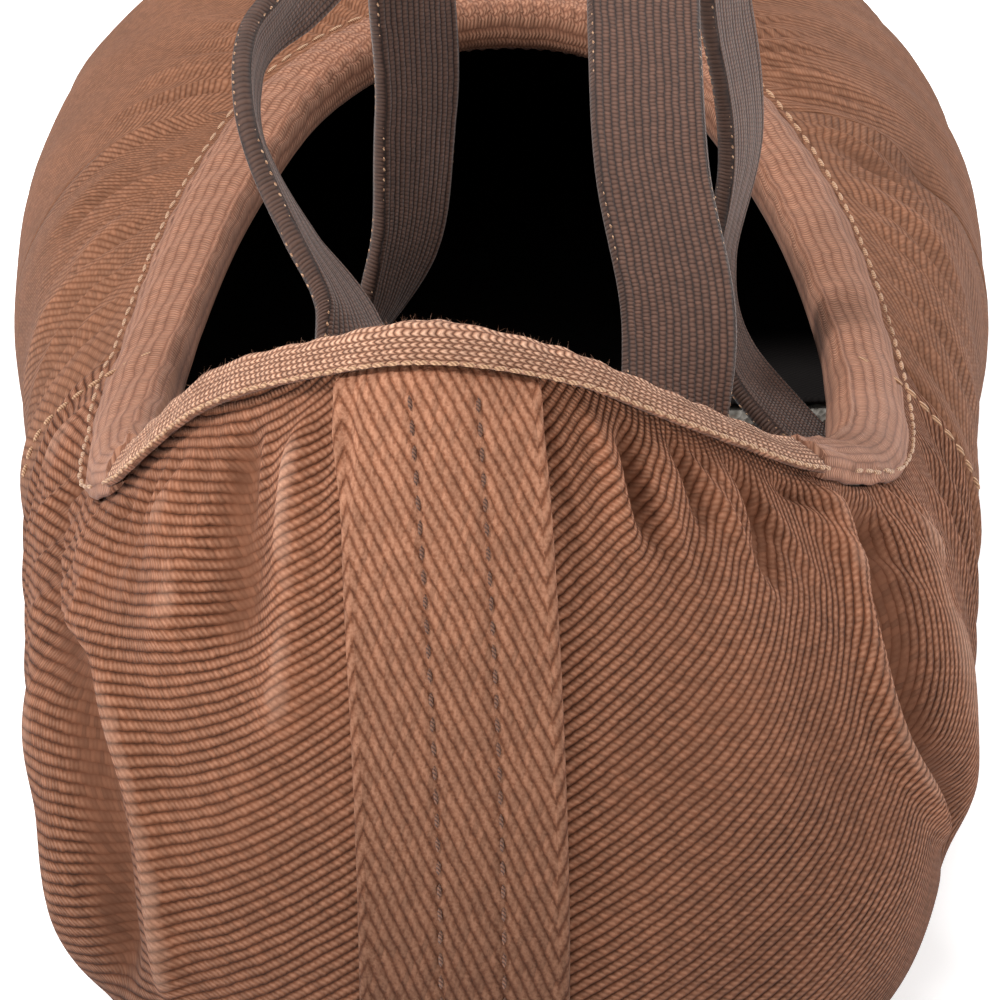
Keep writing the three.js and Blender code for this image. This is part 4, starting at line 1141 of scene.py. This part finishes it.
def fibre_tree():
    """Stray cotton fibres that stand off a piece's cloth."""
    tree, start = new_tree("stray_fibres", "Cloth", "Fibres",
                           {"Per square metre": 1e5, "Length": 0.001, "Thickness": 0.00004})
    spread = add(tree, "GeometryNodeDistributePointsOnFaces",
                 {"Mesh": start["Cloth"], "Density": start["Per square metre"], "Seed": 11}, take=None)
    fibre = add(tree, "GeometryNodeMeshCone", {"Vertices": 3, "Side Segments": 1, "Radius Top": 0.1,
                                               "Radius Bottom": 0.5, "Depth": 1.0}, fill_type="TRIANGLE_FAN")
    sizes = add(tree, "ShaderNodeCombineXYZ", start["Thickness"], start["Thickness"], start["Length"])
    fibre = add(tree, "GeometryNodeTransform", {"Geometry": fibre, "Scale": sizes})
    lean = add(tree, "FunctionNodeRandomValue", {0: (-1.1, -1.1, 0.0), 1: (1.1, 1.1, 6.28), "Seed": 5},
               data_type="FLOAT_VECTOR")
    bent = add(tree, "FunctionNodeEulerToRotation", {"Euler": lean})
    turn = add(tree, "FunctionNodeRotateRotation", {"Rotation": spread["Rotation"], "Rotate By": bent},
               rotation_space="LOCAL")
    long = add(tree, "FunctionNodeRandomValue", {2: 0.4, 3: 1.3, "Seed": 3}, data_type="FLOAT", take=1)
    many = add(tree, "GeometryNodeInstanceOnPoints",
               {"Points": spread["Points"], "Instance": fibre, "Rotation": turn, "Scale": long})
    close_tree(tree, many, start["Finish"])
    return tree


STITCHES, FIBRES = stitch_tree(), fibre_tree()


def stitch(name, lines, thread, pitch, length, thick, lean=0.0):
    """Stitches along lines; each line is points in millimetres and the outward directions at them."""
    points = np.concatenate([p for p, _ in lines])
    outs = np.concatenate([o for _, o in lines])
    links, first = [], 0
    for p, _ in lines:
        links += [(first + i, first + i + 1) for i in range(len(p) - 1)]
        first += len(p)
    mesh = bpy.data.meshes.new(name + "_line")
    mesh.from_pydata((points * MM + [0, NOSE, 0]).tolist(), links, [])
    layer = mesh.attributes.new("out", "FLOAT_VECTOR", "POINT")
    layer.data.foreach_set("vector", (outs / np.linalg.norm(outs, axis=1, keepdims=True)).ravel())
    return grown(name, mesh, STITCHES, {"Pitch": pitch * MM, "Stitch": length * MM, "Thread": thick * MM,
                                        "Lean": lean, "Finish": thread})


def on_cloth(angle, s, depth):
    """A line of points at a depth into the folded cloth, and the outward directions at them."""
    angle, s = np.broadcast_arrays(np.asarray(angle, float), np.asarray(s, float))
    surface, normal = skin(angle, s[:, None])
    lift = folds(angle, s)
    return surface[:, 0] + normal[:, 0] * (lift - depth)[:, None], normal[:, 0]


def down_tape(x):
    s = np.linspace(BINDING_HEIGHT + 0.5, profiles(np.array([0.0]))[1][0, -1] - 10, 120)
    return on_cloth(tape_angles(np.array([x]), s)[0], s, -GAP - TRIM + 0.1)


tape_stitches = stitch("tape_seam_stitches", [down_tape(x) for x in TAPE_SEAMS], BROWN_THREAD, 1.5, 1.0, 0.3)
TOPSIDE = -GAP - TRIM - 0.16
binding_line = on_cloth(binding_angles, binding_height(binding_angles) - 0.12, TOPSIDE + 0.12)
binding_stitches = stitch("binding_stitches", [binding_line], PALE_THREAD, 0.95, 0.98, 0.32, 0.08)
casing_line = on_cloth(casing_angles[6:-6], casing_height(casing_angles[6:-6]) - 0.4, TOPSIDE)
casing_stitches = stitch("casing_stitches", [casing_line], PALE_THREAD, 2.0, 1.6, 0.32)
tack_lines = [on_cloth(np.full(16, turn), np.linspace(1.2, CASING_HEIGHT + 4.5, 16), TOPSIDE - 0.25)
              for turn in (-60.5, 60.5)]
tack_stitches = stitch("side_tack_stitches", tack_lines, PALE_THREAD, 1.3, 1.1, 0.34)


def sole_stitch_line(line, z=0.16, inset=2.2):
    """A closed line of stitches on the underside of a sole pad, in from its edge."""
    middle = middle_line(line)
    far = np.linalg.norm(line - middle, axis=1, keepdims=True)
    flat = line + (middle - line) * inset / far
    flat = np.concatenate([flat, flat[:1]])
    return np.concatenate([flat, np.full((len(flat), 1), z)], 1), np.tile([0.0, 0.0, -1.0], (len(flat), 1))


heel_sole_stitches = stitch("heel_sole_stitches", [sole_stitch_line(heel_line)], BROWN_THREAD, 2.6, 2.0, 0.32)
front_sole_stitches = stitch("front_sole_stitches", [sole_stitch_line(front_line)], BROWN_THREAD, 2.6, 2.0, 0.32)


def edging(name, edges, face):
    """Overlocked thread along both edges of a strap, on both of its faces."""
    lines = [(edge + face * 0.42 * side, face * side) for edge in edges for side in (1, -1)]
    return stitch(name, lines, PALE_THREAD, 0.75, 0.5, 0.2, 0.35)


over_edging = edging("strap_over_edging", over_edges, over_face)
under_edging = edging("strap_under_edging", under_edges, under_face)


# loose fibres on the knitted binding: 3 to a square millimetre, 0.42 mm long and drawn 0.022 mm thick
binding_fuzz = grown("binding_fuzz", heel_binding.data, FIBRES,
                     {"Per square metre": 3e6, "Length": 0.42 * MM, "Thickness": 0.022 * MM, "Finish": FIBRE})


for piece, node, body, slot in [
    (left_quarter, "left_quarter", "heel", "canvas"), (right_quarter, "right_quarter", "heel", "canvas"),
    (vamp, "vamp_canvas", "forefoot", "canvas"), (heel_lining, "heel_lining", "heel", "lining"),
    (vamp_lining, "vamp_lining", "forefoot", "lining"), (heel_tape, "heel_tape", "heel", "tape"),
    (heel_binding, "heel_binding", "heel", "trim"), (side_label, "side_label", "heel", "label"),
    (heel_outsole, "heel_outsole", "heel", "suede"), (front_outsole, "front_outsole", "forefoot", "suede"),
    (heel_pad, "heel_pad", "heel", "foam"), (front_pad, "front_pad", "forefoot", "foam"),
    (heel_sock, "heel_sock", "heel", "lining"), (front_sock, "front_sock", "forefoot", "lining"),
    (tape_stitches, None, "heel", "tape"), (binding_stitches, None, "heel", "trim"),
    (heel_sole_stitches, None, "heel", "suede"), (front_sole_stitches, None, "forefoot", "suede"),
    (binding_fuzz, None, "heel", "trim"),
    (arch, "arch_panel", None, "canvas"), (arch_lining, "arch_lining", None, "lining"),
    (throat_casing, "throat_casing", None, "trim"), (throat_elastic, "throat_elastic", None, "elastic"),
    (casing_stitches, None, None, "trim"), (tack_stitches, None, None, "trim"),
    (strap_over, "strap_over", "over_loop", "strap"), (over_edging, None, "over_loop", "strap"),
    (strap_under, "strap_under", "under_loop", "strap"), (under_edging, None, "under_loop", "strap"),
]:
    if body is None:
        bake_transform(piece)
    elif body.endswith("loop"):
        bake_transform(piece)
    else:
        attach(piece, body)
    if node:
        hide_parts(node)


# ---- studio ----
def sky_and_floor():
    scene = bpy.context.scene
    scene.view_settings.view_transform = "Standard"
    world = bpy.data.worlds.new("studio")
    scene.world = world
    world.use_nodes = True
    sky = world.node_tree.nodes["Background"]
    sky.inputs["Color"].default_value, sky.inputs["Strength"].default_value = paint("#FFFFFF"), 0.42
    material, tree = fresh("white_paper")
    shader = add(tree, "ShaderNodeBsdfPrincipled",
                 {"Base Color": paint("#FAFAFA"), "Roughness": 0.9, "Specular IOR Level": 0.1,
                  "Emission Color": paint("#FFFFFF"), "Emission Strength": 0.55})
    add(tree, "ShaderNodeOutputMaterial", {"Surface": shader})
    mesh = bpy.data.meshes.new("paper_floor")
    mesh.from_pydata([(-6, -6, 0), (6, -6, 0), (6, 6, 0), (-6, 6, 0)], [], [(0, 1, 2, 3)])
    mesh.materials.append(material)
    floor = bpy.data.objects.new("paper_floor", mesh)
    scene.collection.objects.link(floor)


def lamp(name, place, size, power):
    """A round soft light that faces the shoe."""
    light = bpy.data.lights.new(name, "AREA")
    light.shape, light.size, light.energy = "DISK", size, power
    thing = bpy.data.objects.new(name, light)
    thing.location = place
    thing.rotation_euler = (Vector((0, -0.05, 0.03)) - Vector(place)).to_track_quat("-Z", "Y").to_euler()
    bpy.context.scene.collection.objects.link(thing)


sky_and_floor()
lamp("key_light", (-0.72, -0.42, 0.95), 0.3, 12)
lamp("top_light", (0.0, 0.1, 1.2), 0.6, 6)
lamp("side_light", (0.8, 0.2, 0.4), 0.4, 2.5)

camera = bpy.data.objects.new("camera", bpy.data.cameras.new("camera"))
camera.data.lens, camera.data.sensor_width = 180, 36
camera.location = (0, -0.3905 + NOSE, 0.1506)
camera.rotation_euler = (math.radians(69.1), 0, 0)
bpy.context.scene.collection.objects.link(camera)
bpy.context.scene.camera = camera
